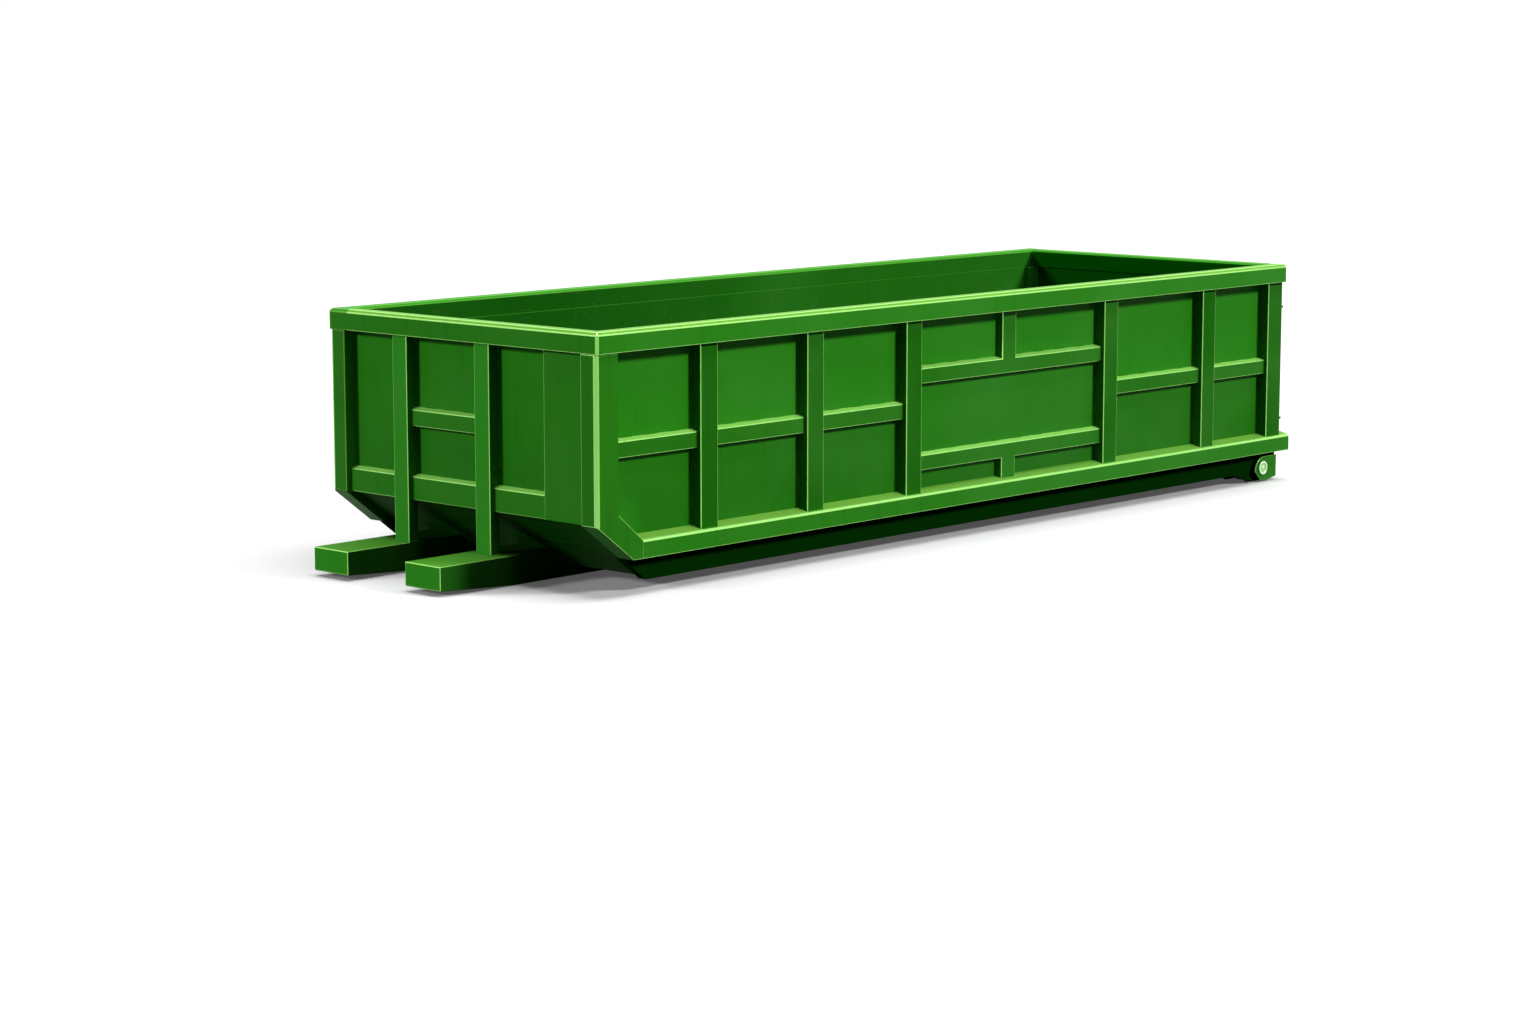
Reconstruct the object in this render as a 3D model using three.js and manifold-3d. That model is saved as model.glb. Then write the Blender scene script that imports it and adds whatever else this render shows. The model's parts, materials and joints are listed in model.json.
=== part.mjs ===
// Roll-off dumpster: an open steel tub on two long ground rails, with a side-hung rear door.
// Millimetres, +Z up, +X towards the rear door. The origin is on the ground, under the middle.
// The near side is the one at -Y, the far side the one at +Y.

import * as THREE from 'three';
import { mergeVertices } from 'three/addons/utils/BufferGeometryUtils.js';
import Module from 'manifold-3d';

const wasm = await Module();
wasm.setup();

// Overall sizes. The tub is measured over its top rail.
const tubLength = 6706;
const tubWidth = 2286;
const noseReach = 470;
const tailReach = 94;
const seamGap = 0.3;
const cutOverrun = 20;
const sheetThickness = 4;
const floorThickness = 6;
const meshTolerance = 0.001;
const gridStepsPerMillimetre = 512;
const roundSegments = 40;

// Heights above the ground.
const rimTop = 1518;
const rimHeight = 126;
const rimBottom = rimTop - rimHeight;
const bottomRailBase = 208;
const bottomRailFace = 101;
const frontRailBase = 424;
const floorTop = 256;
const groundRailHeight = 174;
const sillBase = 67;

// Top rail section. Its inner face is level with the side sheets' inner faces.
const rimWidth = 106;
const rimBevel = 18;
const rimWall = 5;

// Depths of the side pieces, measured inwards from the top rail's side face.
const railInset = 12;
const postInset = 30;
const stiffenerInset = 56;
const sheetInset = 102;

// Bottom rail section: a face, a bevel and a ledge that slopes up to the sheet.
const ledgeBevelRun = 9;
const ledgeBevelRise = 9;
const ledgeRise = 31;
const railWall = 5;

// Side posts, by the middle of each as a share of the tub's length.
const postCentreShares = [0.1384, 0.2747, 0.4096, 0.7067, 0.8704];
const postWidth = 144;
const postWall = 5;
const cornerPostLength = 166;
const cornerPostWidth = 110;

// Side stiffeners: bar sections with a sloping top, each by its lower edge as a share of the full height.
const barFace = 95;
const barSlopeRise = 14;
const barWall = 4;
const frontBarShare = 0.5211;
const rearBarShare = 0.5026;
const upperBarShare = 0.6555;
const lowerBarShare = 0.3004;
const stubWidth = 136;
const stubCentreShare = 0.5526;

// Front corner frames: a front leg, a side leg and a slanting foot.
const frameFrontInset = 2;
const frameLegWidth = 125;
const frameDepth = 76;
const frameSideWidth = 171;
const slantRun = 288;
const frameFootLength = 80;
const innerSlantTop = 474;

// Front wall pieces. Posts are placed by their middles, as shares of the width from the near side.
const hookPostWidth = 124;
const hookPostMiddleShares = [0.4156, 0.7244];
const hookPostWall = 6;
const hookPostFace = 4;
const frontBarInset = 36;
const frontMidShare = 0.5679;
const frontMidFace = 98;
const frontBarSlopeRise = 14;
const frontRailFace = 139;
const coverPlateWidth = 333;
const coverPlateWall = 6;

// Ground rails: long boxes that run under the tub and out in front of it, placed as the posts are.
const groundRailWidth = 300;
const groundRailWall = 6;
const groundRailMiddleShares = [0.4125, 0.762];
const groundRailTailGap = 106;
const groundRailNoseRise = 34;
const groundRailNoseRun = 560;

// Underframe: two side sills and the cross-members between them.
const sillInset = 100;
const sillWidth = 60;
const sillWall = 6;
const sillTailGap = 474;
const crossMemberWidth = 60;
const crossMemberInset = 114;
const crossMemberWall = 5;
const crossMemberShares = [0.1, 0.2, 0.3, 0.4, 0.5, 0.6, 0.7, 0.8, 0.9];

// Rear sill, a box beam that closes the tub's floor under the door.
const sillBeamFront = 94;
const sillBeamWall = 6;
const sillBeamBevel = 14;

// Rear wheels and their housings.
const wheelRadius = 100;
const wheelWidth = 150;
const wheelInset = 120;
const wheelRimWall = 16;
const wheelEdgeBevel = 4;
const wheelHubRadius = 42;
const wheelWebWidth = 40;
const axleBack = 151;
const axleRadius = 25;
const axleGap = 0.5;
const axleHeadRadius = 48;
const axleHeadLength = 10;
const axleNippleRadius = 11;
const axleNippleLength = 8;
const axleRimWidth = 12;
const axleRecess = 4;
const axleTail = 14;
const housingPlate = 12;
const housingRunOut = 47;
const housingBase = 8;
const housingFlat = 66;
const housingSlant = 128;
const housingHeelRun = 84;
const housingHeelRise = 24;
const wheelSideGap = 8;
const earThickness = 38;
const earFrontReach = 88;
const earRearReach = 166;
const earCrownBack = 18;
const earShoulderDrop = 22;
const earFootBack = 22;
const earTop = 78;
const earBottom = 88;
const earHeelRun = 86;
const earHeelRise = 16;
const earArcSteps = 8;

// Rear door leaf, hung between the rear corner posts.
const leafDepth = 84;
const leafProud = 6;
const leafBase = 321;
const leafEdgeGap = 12;
const doorRailGap = 16;
const leafMember = 90;
const leafRib = 80;
const leafWall = 5;
const leafRibShares = [0.34, 0.66];
const leafBeltShares = [0.36, 0.68];
const stopWidth = 28;
const stopThickness = 14;

// Door hinges at the far rear corner.
const hingeAxisInset = 36;
const hingeAxisBack = 32;
const hingePinRadius = 16;
const hingeBarrelRadius = 26;
const hingeBoreGap = 0.6;
const hingeBarrelHeight = 90;
const hingeHeightShares = [0.3689, 0.7773];
const hingeStrapLength = 560;
const hingeStrapHeight = 76;
const hingeStrapThickness = 14;
const hingeLugThickness = 16;
const hingeLugGap = 2;
const hingePlateThickness = 5;
const hingePlateReach = 84;
const hingePinStub = 12;
const hingePinHeadRadius = 24;
const hingePinHeadHeight = 10;

// Door lock: an upright bar on the near rear post whose dogs turn over the leaf.
const lockAxisInset = 118;
const lockAxisBack = 36;
const lockBarRadius = 15;
const lockBoreGap = 0.6;
const lockHubRadius = 24;
const dogLength = 58;
const dogHalfWidth = 24;
const dogThickness = 18;
const lockBarReach = 28;
const lowBearingInset = 79;
const highBearingInset = 142;
const bearingHeight = 50;
const bearingHalfWidth = 24;
const bearingRest = 0.5;
const strikerGap = 2;
const strikerEdge = 4;
const strikerLength = 34;
const strikerHeight = 44;

// Lever that turns the lock bar. It hangs from a lug on the bar.
const leverHeightShare = 0.6456;
const leverOffset = 30;
const leverLugThickness = 10;
const leverLugRadius = 15;
const leverStandOff = 1;
const leverThickness = 10;
const leverWidth = 30;
const leverLength = 380;
const leverBoreGap = 0.5;
const leverStudRadius = 8;
const leverStudHeadRadius = 13;
const leverStudHead = 5;
const leverGripRadius = 12;
const leverGripLength = 120;

// Places worked out from the sizes above.
const overallLength = noseReach + tubLength + tailReach;
const xFront = noseReach - overallLength / 2;
const xRear = xFront + tubLength;
const xTail = xRear + tailReach;
const halfWidth = tubWidth / 2;
const railTopFace = bottomRailBase + bottomRailFace;
const slantTop = frontRailBase;
const pieceTop = rimBottom - seamGap;
const slantDrop = slantTop - bottomRailBase;
const slantSlope = slantDrop / slantRun;
const xFrameFace = xFront + frameFrontInset;
const xSheetFace = xFrameFace + frameDepth;
const xFrameSide = xFrameFace + frameSideWidth;
const xFrameFoot = xFrameFace + slantRun + frameFootLength;
const xCornerPost = xRear - cornerPostLength;
const xAxle = xRear - axleBack;
const zAxle = wheelRadius;
const xLeafOut = xRear + leafProud;
const xLeafIn = xLeafOut - leafDepth;
const xSkin = xLeafIn - seamGap - sheetThickness;
const [frontBarBase, rearBarBase, upperBarBase, lowerBarBase] = [
  frontBarShare, rearBarShare, upperBarShare, lowerBarShare,
].map((share) => share * rimTop);
const frontMidBase = frontMidShare * rimTop;
const groundRailInsets = groundRailMiddleShares.map((share) => share * tubWidth - groundRailWidth / 2);
const hookPostInsets = hookPostMiddleShares.map((share) => share * tubWidth - hookPostWidth / 2);
const hingeHeights = hingeHeightShares.map((share) => share * rimTop);
const bearingHeights = [leafBase + lowBearingInset, pieceTop - highBearingInset];
const leverHeight = leverHeightShare * rimTop;
const sides = [
  { name: 'near', sign: -1 },
  { name: 'far', sign: 1 },
];
const near = sides[0];
const far = sides[1];

// Finishes.
const greenPaint = { color: 0x2f8420, roughness: 0.42, metalness: 0.0 };
const wornSteel = { color: 0x8d9189, roughness: 0.45, metalness: 0.9 };
const wheelSteel = { color: 0x26282a, roughness: 0.6, metalness: 0.6 };

const dumpster = new THREE.Group();
dumpster.name = 'dumpster';

function add(name, geometry, finish) {
  const mesh = new THREE.Mesh(geometry, new THREE.MeshStandardMaterial(finish));
  mesh.name = name;
  dumpster.add(mesh);
}

// Distance in from one side's top rail face, as a Y place.
function yAt(side, inset) {
  return side.sign * (halfWidth - inset);
}

function vectors(points) {
  return points.map(([u, v]) => new THREE.Vector2(u, v));
}

// Every hole is given in the same turning sense as its outline.
function prism(points, holes, depth) {
  const shape = new THREE.Shape(vectors(points));
  shape.holes = holes.map((hole) => new THREE.Path(vectors(hole).reverse()));
  return new THREE.ExtrudeGeometry(shape, { depth, bevelEnabled: false });
}

// Extrude a [y, z] section along X.
function alongX(points, from, to, holes = []) {
  const geometry = prism(points, holes, to - from);
  const toFrame = new THREE.Matrix4().set(0, 0, 1, from, 1, 0, 0, 0, 0, 1, 0, 0, 0, 0, 0, 1);
  return geometry.applyMatrix4(toFrame);
}

// Extrude an [x, z] outline along Y, between two Y places in either order.
function alongY(points, oneEnd, otherEnd, holes = []) {
  const low = Math.min(oneEnd, otherEnd);
  const high = Math.max(oneEnd, otherEnd);
  const geometry = prism(points, holes, high - low);
  const toFrame = new THREE.Matrix4().set(1, 0, 0, 0, 0, 0, -1, high, 0, 1, 0, 0, 0, 0, 0, 1);
  return geometry.applyMatrix4(toFrame);
}

// Extrude an [x, y] plan along Z.
function alongZ(points, from, to, holes = []) {
  return prism(points, holes, to - from).translate(0, 0, from);
}

function rectangle(u0, u1, v0, v1) {
  return [[u0, v0], [u1, v0], [u1, v1], [u0, v1]];
}

function block(x0, x1, y0, y1, z0, z1) {
  const geometry = new THREE.BoxGeometry(Math.abs(x1 - x0), Math.abs(y1 - y0), z1 - z0);
  return geometry.translate((x0 + x1) / 2, (y0 + y1) / 2, (z0 + z1) / 2);
}

function rodZ(radius, x, y, z0, z1) {
  const geometry = new THREE.CylinderGeometry(radius, radius, z1 - z0, roundSegments);
  return geometry.rotateX(Math.PI / 2).translate(x, y, (z0 + z1) / 2);
}

function rodY(radius, x, z, y0, y1) {
  const geometry = new THREE.CylinderGeometry(radius, radius, Math.abs(y1 - y0), roundSegments);
  return geometry.translate(x, (y0 + y1) / 2, z);
}

function rodX(radius, y, z, x0, x1) {
  const geometry = new THREE.CylinderGeometry(radius, radius, x1 - x0, roundSegments);
  return geometry.rotateZ(Math.PI / 2).translate((x0 + x1) / 2, y, z);
}

// Corners are held to one fine grid, so that faces meant to be level with each other are.
function toSolid(geometry) {
  const corners = geometry.attributes.position.array.map((value) => (
    Math.round(value * gridStepsPerMillimetre) / gridStepsPerMillimetre
  ));
  const bare = new THREE.BufferGeometry();
  bare.setAttribute('position', new THREE.BufferAttribute(corners, 3));
  bare.setIndex(geometry.index);
  const merged = mergeVertices(bare, meshTolerance);
  const mesh = new wasm.Mesh({
    numProp: 3,
    vertProperties: new Float32Array(merged.attributes.position.array),
    triVerts: new Uint32Array(merged.index.array),
  });
  return new wasm.Manifold(mesh);
}

function toGeometry(solid) {
  const mesh = solid.getMesh();
  const geometry = new THREE.BufferGeometry();
  geometry.setAttribute('position', new THREE.BufferAttribute(mesh.vertProperties, 3));
  geometry.setIndex(new THREE.BufferAttribute(mesh.triVerts, 1));
  return geometry;
}

function join(...pieces) {
  return toGeometry(pieces.map(toSolid).reduce((sum, piece) => sum.add(piece)));
}

function cut(piece, ...tools) {
  return toGeometry(tools.map(toSolid).reduce((rest, tool) => rest.subtract(tool), toSolid(piece)));
}

// Outlines and sections.

function direction([x0, y0], [x1, y1]) {
  return new THREE.Vector2(x1 - x0, y1 - y0).normalize();
}

// Move every edge of a closed outline inwards by the same distance.
function shrink(points, distance) {
  const turn = Math.sign(THREE.ShapeUtils.area(vectors(points)));
  return points.map((point, i) => {
    const before = direction(points.at(i - 1), point);
    const after = direction(point, points[(i + 1) % points.length]);
    const reach = (distance * turn) / (1 + before.dot(after));
    return [point[0] - (before.y + after.y) * reach, point[1] + (before.x + after.x) * reach];
  });
}

// The point where the line through two points comes to the back of a section.
function reachBack(from, through, back) {
  const share = (back - from[0]) / (through[0] - from[0]);
  return [back, from[1] + share * (through[1] - from[1])];
}

// A plate section that follows an outline and is open at the back, from its last point to its first.
function openBack(outer, wall) {
  const inner = shrink(outer, wall);
  const back = outer[0][0];
  const start = reachBack(inner[1], inner[0], back);
  const end = reachBack(inner.at(-2), inner.at(-1), back);
  return [...outer, end, ...inner.slice(1, -1).reverse(), start];
}

// Turn [inset, z] points into [y, z] points of one side.
function sideSection(side, points) {
  return points.map(([inset, z]) => [yAt(side, inset), z]);
}

// Turn [inset, x] points into [x, y] points of one side.
function sidePlan(side, points) {
  return points.map(([inset, x]) => [x, yAt(side, inset)]);
}

function swapped(points) {
  return points.map(([u, v]) => [v, u]);
}

// Top rail.

const rimOutline = [
  [0, rimBottom],
  [0, rimTop - rimBevel],
  [rimBevel, rimTop],
  [rimWidth - rimBevel, rimTop],
  [rimWidth, rimTop - rimBevel],
  [rimWidth, rimBottom],
];
const rimHole = shrink(rimOutline, rimWall);

// The corner wedge that lies on the front rail's side of a mitre, or on the side rail's.
function mitreWedge(side, frontSide) {
  const start = -cutOverrun;
  const end = rimWidth + cutOverrun;
  const shift = (frontSide ? 1 : -1) * (seamGap / 2);
  const spare = frontSide ? [start, end] : [end, start];
  const corners = [[start, start], [end, end], spare];
  const plan = corners.map(([back, inset]) => [xFront + back + shift, yAt(side, inset)]);
  return alongZ(plan, rimBottom - cutOverrun, rimTop + cutOverrun);
}

function sideTopRail(side) {
  const hole = [sideSection(side, rimHole)];
  const tube = alongX(sideSection(side, rimOutline), xFront, xRear, hole);
  const cap = alongX(sideSection(side, rimOutline), xRear - rimWall, xRear);
  return cut(join(tube, cap), mitreWedge(side, true));
}

function frontTopRail() {
  const outline = rimOutline.map(([u, z]) => [xFront + u, z]);
  const hole = rimHole.map(([u, z]) => [xFront + u, z]);
  const tube = alongY(outline, yAt(near, 0), yAt(far, 0), [hole]);
  return cut(tube, mitreWedge(near, false), mitreWedge(far, false));
}

add('near_top_rail', sideTopRail(near), greenPaint);
add('far_top_rail', sideTopRail(far), greenPaint);
add('front_top_rail', frontTopRail(), greenPaint);

// Bottom rails and their ledge.

function railOutline(grow) {
  const back = sheetInset + grow;
  return [
    [back, bottomRailBase],
    [railInset, bottomRailBase],
    [railInset, railTopFace + grow],
    [railInset + ledgeBevelRun, railTopFace + ledgeBevelRise + grow],
    [back, railTopFace + ledgeRise + grow],
  ];
}

function railEnvelope(side) {
  return alongX(sideSection(side, railOutline(seamGap)), xFront, xTail + cutOverrun);
}

function bottomRail(side) {
  const xStart = xFrameFoot + seamGap;
  const channel = alongX(sideSection(side, openBack(railOutline(0), railWall)), xStart, xTail);
  const cap = alongX(sideSection(side, railOutline(0)), xTail - railWall, xTail);
  return join(channel, cap);
}

// Side stiffeners.

function barOutline(base, grow) {
  return [
    [sheetInset + grow, base - grow],
    [stiffenerInset - grow, base - grow],
    [stiffenerInset - grow, base + barFace + grow],
    [sheetInset + grow, base + barFace + barSlopeRise + grow],
  ];
}

function bar(side, base, x0, x1) {
  return alongX(sideSection(side, openBack(barOutline(base, 0), barWall)), x0, x1);
}

function barEnvelope(side, base) {
  return alongX(sideSection(side, barOutline(base, seamGap)), xFront, xRear);
}

function upright(side, face, wall, x0, x1, z0, z1) {
  const outline = [[sheetInset, x0], [face, x0], [face, x1], [sheetInset, x1]];
  return alongZ(sidePlan(side, openBack(outline, wall)), z0, z1);
}

const postEdges = postCentreShares.map((share) => {
  const middle = xFront + share * tubLength;
  return [middle - postWidth / 2, middle + postWidth / 2];
});
const xStub = xFront + stubCentreShare * tubLength;

function upperBar(side, x0, x1) {
  const stubBase = upperBarBase + barFace - barWall;
  const stub = upright(
    side, stiffenerInset, barWall, xStub - stubWidth / 2, xStub + stubWidth / 2, stubBase, pieceTop,
  );
  return join(bar(side, upperBarBase, x0, x1), stub);
}

function lowerBar(side, x0, x1) {
  const stub = upright(
    side, stiffenerInset, barWall, xStub - stubWidth / 2, xStub + stubWidth / 2,
    bottomRailBase, lowerBarBase + barWall,
  );
  return join(bar(side, lowerBarBase, x0, x1), cut(stub, railEnvelope(side)));
}

function sidePost(side, [x0, x1], crossing) {
  const post = upright(side, postInset, postWall, x0, x1, bottomRailBase, pieceTop);
  return cut(post, railEnvelope(side), ...crossing.map((base) => barEnvelope(side, base)));
}

const crossings = [[frontBarBase], [frontBarBase], [], [], [rearBarBase]];

for (const side of sides) {
  add(`${side.name}_bottom_rail`, bottomRail(side), greenPaint);
  postEdges.forEach((edges, i) => {
    add(`${side.name}_side_post_${i + 1}`, sidePost(side, edges, crossings[i]), greenPaint);
  });
  const bay = postEdges.map(([x0, x1]) => [x0 - seamGap, x1 + seamGap]);
  const frontEnd = xFrameSide + seamGap;
  add(`${side.name}_front_stiffener`, bar(side, frontBarBase, frontEnd, bay[2][0]), greenPaint);
  add(`${side.name}_upper_stiffener`, upperBar(side, bay[2][1], bay[3][0]), greenPaint);
  add(`${side.name}_lower_stiffener`, lowerBar(side, bay[2][1], bay[3][0]), greenPaint);
  const rearEnd = xCornerPost - seamGap;
  add(`${side.name}_rear_stiffener`, bar(side, rearBarBase, bay[3][1], rearEnd), greenPaint);
}

// Front corner frames.

// The slanting foot's face, as an X place at a height.
function slantX(z) {
  return xFrameFace + (slantTop - z) / slantSlope;
}

function frameSideShell(side) {
  const outline = [
    [xFrameFace, slantTop],
    [slantX(bottomRailBase), bottomRailBase],
    [xFrameFoot, bottomRailBase],
    [xFrameFoot, railTopFace],
    [xFrameSide, innerSlantTop],
    [xFrameSide, pieceTop],
    [xFrameFace, pieceTop],
  ];
  const outer = alongY(outline, yAt(side, railInset), yAt(side, sheetInset));
  const hollowStart = yAt(side, railInset + railWall);
  const hollow = alongY(shrink(outline, railWall), hollowStart, yAt(side, sheetInset + cutOverrun));
  return cut(outer, hollow);
}

function frameFrontShell(side) {
  const back = xSheetFace - seamGap;
  const inner = railInset + frameLegWidth;
  const outer = block(xFrameFace, back, yAt(side, railInset), yAt(side, inner), slantTop, pieceTop);
  const hollow = block(
    xFrameFace + railWall, back + cutOverrun,
    yAt(side, railInset + railWall), yAt(side, inner - railWall),
    slantTop + railWall, pieceTop - railWall,
  );
  return cut(outer, hollow);
}

function frameSlantLeg(side) {
  const run = frameDepth - seamGap;
  const outline = [
    [xFrameFace, slantTop],
    [slantX(bottomRailBase), bottomRailBase],
    [slantX(bottomRailBase) + run, bottomRailBase],
    [xFrameFace + run, slantTop],
  ];
  return alongY(outline, yAt(side, sheetInset - railWall), yAt(side, railInset + frameLegWidth));
}

// The ledge's section carried up along the inner edge of the slanting foot.
function frameLedge(side) {
  const run = xFrameFoot - xFrameSide;
  const slope = (innerSlantTop - railTopFace) / run;
  const section = [
    [sheetInset, -railWall],
    [railInset, -railWall],
    [railInset, 0],
    [railInset + ledgeBevelRun, ledgeBevelRise],
    [sheetInset, ledgeRise],
  ];
  const shear = new THREE.Matrix4().set(1, 0, 0, 0, 0, 1, 0, 0, -slope, 0, 1, 0, 0, 0, 0, 1);
  const ledge = alongX(sideSection(side, section), 0, run).applyMatrix4(shear);
  return ledge.translate(xFrameSide, 0, innerSlantTop);
}

function cornerFrame(side) {
  return join(
    frameSideShell(side), frameFrontShell(side), frameSlantLeg(side), frameLedge(side),
  );
}

for (const side of sides) {
  add(`${side.name}_front_corner_frame`, cornerFrame(side), greenPaint);
}

// Rear corner posts: tubes that stand on the bottom rail and the floor. Each has a bar that stops the door.

function rearCornerPost(side) {
  const inner = postInset + cornerPostWidth;
  const outer = rectangle(xCornerPost, xRear, yAt(side, postInset), yAt(side, inner));
  const tube = alongZ(outer, floorTop + seamGap, pieceTop, [shrink(outer, postWall)]);
  const stopFace = xSkin - seamGap;
  const stop = block(
    stopFace - stopThickness, stopFace, yAt(side, inner - postWall), yAt(side, inner + stopWidth),
    railTopFace + seamGap, pieceTop,
  );
  return cut(join(tube, stop), railEnvelope(side));
}

for (const side of sides) {
  add(`${side.name}_rear_corner_post`, rearCornerPost(side), greenPaint);
}

// Tub plates.

const sheetBack = sheetInset + seamGap + sheetThickness;
const plateInset = sheetBack + seamGap;
const slopeRun = (sheetThickness * Math.hypot(slantRun, slantDrop)) / slantDrop;

// The slope plate's outer face, as an X place at a height.
function slopeX(z) {
  return xSheetFace + (slantTop - z) / slantSlope;
}

function sideSheet(side) {
  const front = xSheetFace + seamGap;
  const rear = xCornerPost - seamGap;
  const outline = [
    [front, slantTop],
    [slopeX(bottomRailBase), bottomRailBase],
    [rear, bottomRailBase],
    [rear, pieceTop],
    [front, pieceTop],
  ];
  return alongY(outline, yAt(side, sheetInset + seamGap), yAt(side, sheetBack));
}

function frontSheet() {
  const front = xSheetFace + seamGap;
  return block(
    front, front + sheetThickness, yAt(near, plateInset), yAt(far, plateInset),
    slantTop + seamGap, pieceTop,
  );
}

function groundRailEnvelope(inset) {
  return block(
    xFront - noseReach, xRear,
    yAt(near, inset - seamGap), yAt(near, inset + groundRailWidth + seamGap),
    -cutOverrun, groundRailHeight + seamGap,
  );
}

function slopeSheet() {
  const outline = [
    [slopeX(slantTop), slantTop],
    [slopeX(sillBase), sillBase],
    [slopeX(sillBase) + slopeRun, sillBase],
    [slopeX(slantTop) + slopeRun, slantTop],
  ];
  const plate = alongY(outline, yAt(near, plateInset), yAt(far, plateInset));
  const sillCuts = sides.map((side) => block(
    xFront, xRear, yAt(side, 0), yAt(side, sillInset + sillWidth + seamGap),
    -cutOverrun, bottomRailBase,
  ));
  return cut(plate, ...sillCuts, ...groundRailInsets.map(groundRailEnvelope));
}

function floorPlate() {
  const front = slopeX(floorTop - floorThickness) + slopeRun + seamGap;
  const rear = xRear - sillBeamFront - seamGap;
  return block(
    front, rear, yAt(near, plateInset), yAt(far, plateInset), floorTop - floorThickness, floorTop,
  );
}

add('near_side_sheet', sideSheet(near), greenPaint);
add('far_side_sheet', sideSheet(far), greenPaint);
add('front_sheet', frontSheet(), greenPaint);
add('slope_sheet', slopeSheet(), greenPaint);
add('floor_plate', floorPlate(), greenPaint);

// Front wall frame.

const frontBack = xSheetFace - seamGap;
const xFrontBar = xFront + frontBarInset;

function frontBarOutline(base, face, grow) {
  return [
    [frontBack + grow, base - grow],
    [xFrontBar - grow, base - grow],
    [xFrontBar - grow, base + face + grow],
    [frontBack + grow, base + face + frontBarSlopeRise + grow],
  ];
}

function frontBar(base, face, inset0, inset1) {
  const section = openBack(frontBarOutline(base, face, 0), barWall);
  return alongY(section, yAt(near, inset0), yAt(near, inset1));
}

function hookPost(inset) {
  const outer = rectangle(
    xFront + hookPostFace, frontBack, yAt(near, inset), yAt(near, inset + hookPostWidth),
  );
  const bottom = groundRailHeight + seamGap;
  const tube = alongZ(outer, bottom, pieceTop, [shrink(outer, hookPostWall)]);
  const railNotch = alongY(
    frontBarOutline(frontRailBase, frontRailFace, seamGap), yAt(near, 0), yAt(far, 0),
  );
  return cut(tube, railNotch);
}

const coverInset = railInset + frameLegWidth + seamGap;
const coverEnd = coverInset + coverPlateWidth;

function coverPlate() {
  const outline = [
    [frontBack, yAt(near, coverInset)],
    [xFrontBar, yAt(near, coverInset)],
    [xFrontBar, yAt(near, coverEnd)],
    [frontBack, yAt(near, coverEnd)],
  ];
  return alongZ(openBack(outline, coverPlateWall), frontRailBase, pieceTop);
}

const [nearHookPost, farHookPost] = hookPostInsets;
const farLegInset = tubWidth - railInset - frameLegWidth;

add('near_hook_post', hookPost(nearHookPost), greenPaint);
add('far_hook_post', hookPost(farHookPost), greenPaint);
add('front_middle_stiffener', frontBar(
  frontMidBase, frontMidFace, nearHookPost + hookPostWidth + seamGap, farHookPost - seamGap,
), greenPaint);
add('front_bottom_rail', frontBar(
  frontRailBase, frontRailFace, coverEnd + seamGap, farLegInset - seamGap,
), greenPaint);
add('front_cover_plate', coverPlate(), greenPaint);

// Ground rails.

// A closed box whose underside rises towards the front end, as on a sledge. It is open at the tail.
function groundRail(inset) {
  const start = xFront - noseReach;
  const end = xRear - groundRailTailGap;
  const outlineTo = (tail) => [
    [start, groundRailNoseRise],
    [start + groundRailNoseRun, 0],
    [tail, 0],
    [tail, groundRailHeight],
    [start, groundRailHeight],
  ];
  const outer = alongY(outlineTo(end), yAt(near, inset), yAt(near, inset + groundRailWidth));
  const hollow = alongY(
    shrink(outlineTo(end + groundRailWall + cutOverrun), groundRailWall),
    yAt(near, inset + groundRailWall), yAt(near, inset + groundRailWidth - groundRailWall),
  );
  return cut(outer, hollow);
}

const [nearGroundRail, farGroundRail] = groundRailInsets;
add('near_ground_rail', groundRail(nearGroundRail), greenPaint);
add('far_ground_rail', groundRail(farGroundRail), greenPaint);

// Underframe: both side sills and every cross-member in one weldment.

const sillTop = bottomRailBase - seamGap;
const xSillEnd = xRear - sillTailGap;

function sideSill(side) {
  const back = sillInset + sillWidth;
  const outline = [[back, sillBase], [sillInset, sillBase], [sillInset, sillTop], [back, sillTop]];
  const start = slantX(sillTop);
  const channel = alongX(sideSection(side, openBack(outline, sillWall)), start, xSillEnd);
  const nose = [
    [xFront, sillTop + cutOverrun],
    [slantX(sillTop + cutOverrun), sillTop + cutOverrun],
    [slantX(sillBase - cutOverrun), sillBase - cutOverrun],
    [xFront, sillBase - cutOverrun],
  ];
  const noseCut = alongY(nose, yAt(side, 0), yAt(side, back + cutOverrun));
  const face = [
    [start, sillTop],
    [slantX(sillBase), sillBase],
    [slantX(sillBase) + slopeRun, sillBase],
    [start + slopeRun, sillTop],
  ];
  return join(cut(channel, noseCut), alongY(face, yAt(side, sillInset), yAt(side, back)));
}

function crossMember(share) {
  const middle = xFront + share * tubLength;
  const base = groundRailHeight + seamGap;
  const top = floorTop - floorThickness - seamGap;
  const outline = [
    [base, middle - crossMemberWidth / 2],
    [top, middle - crossMemberWidth / 2],
    [top, middle + crossMemberWidth / 2],
    [base, middle + crossMemberWidth / 2],
  ];
  const section = swapped(openBack(outline, crossMemberWall));
  return alongY(section, yAt(near, crossMemberInset), yAt(far, crossMemberInset));
}

add('underframe', join(...sides.map(sideSill), ...crossMemberShares.map(crossMember)), greenPaint);

// Rear sill beam.

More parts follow.
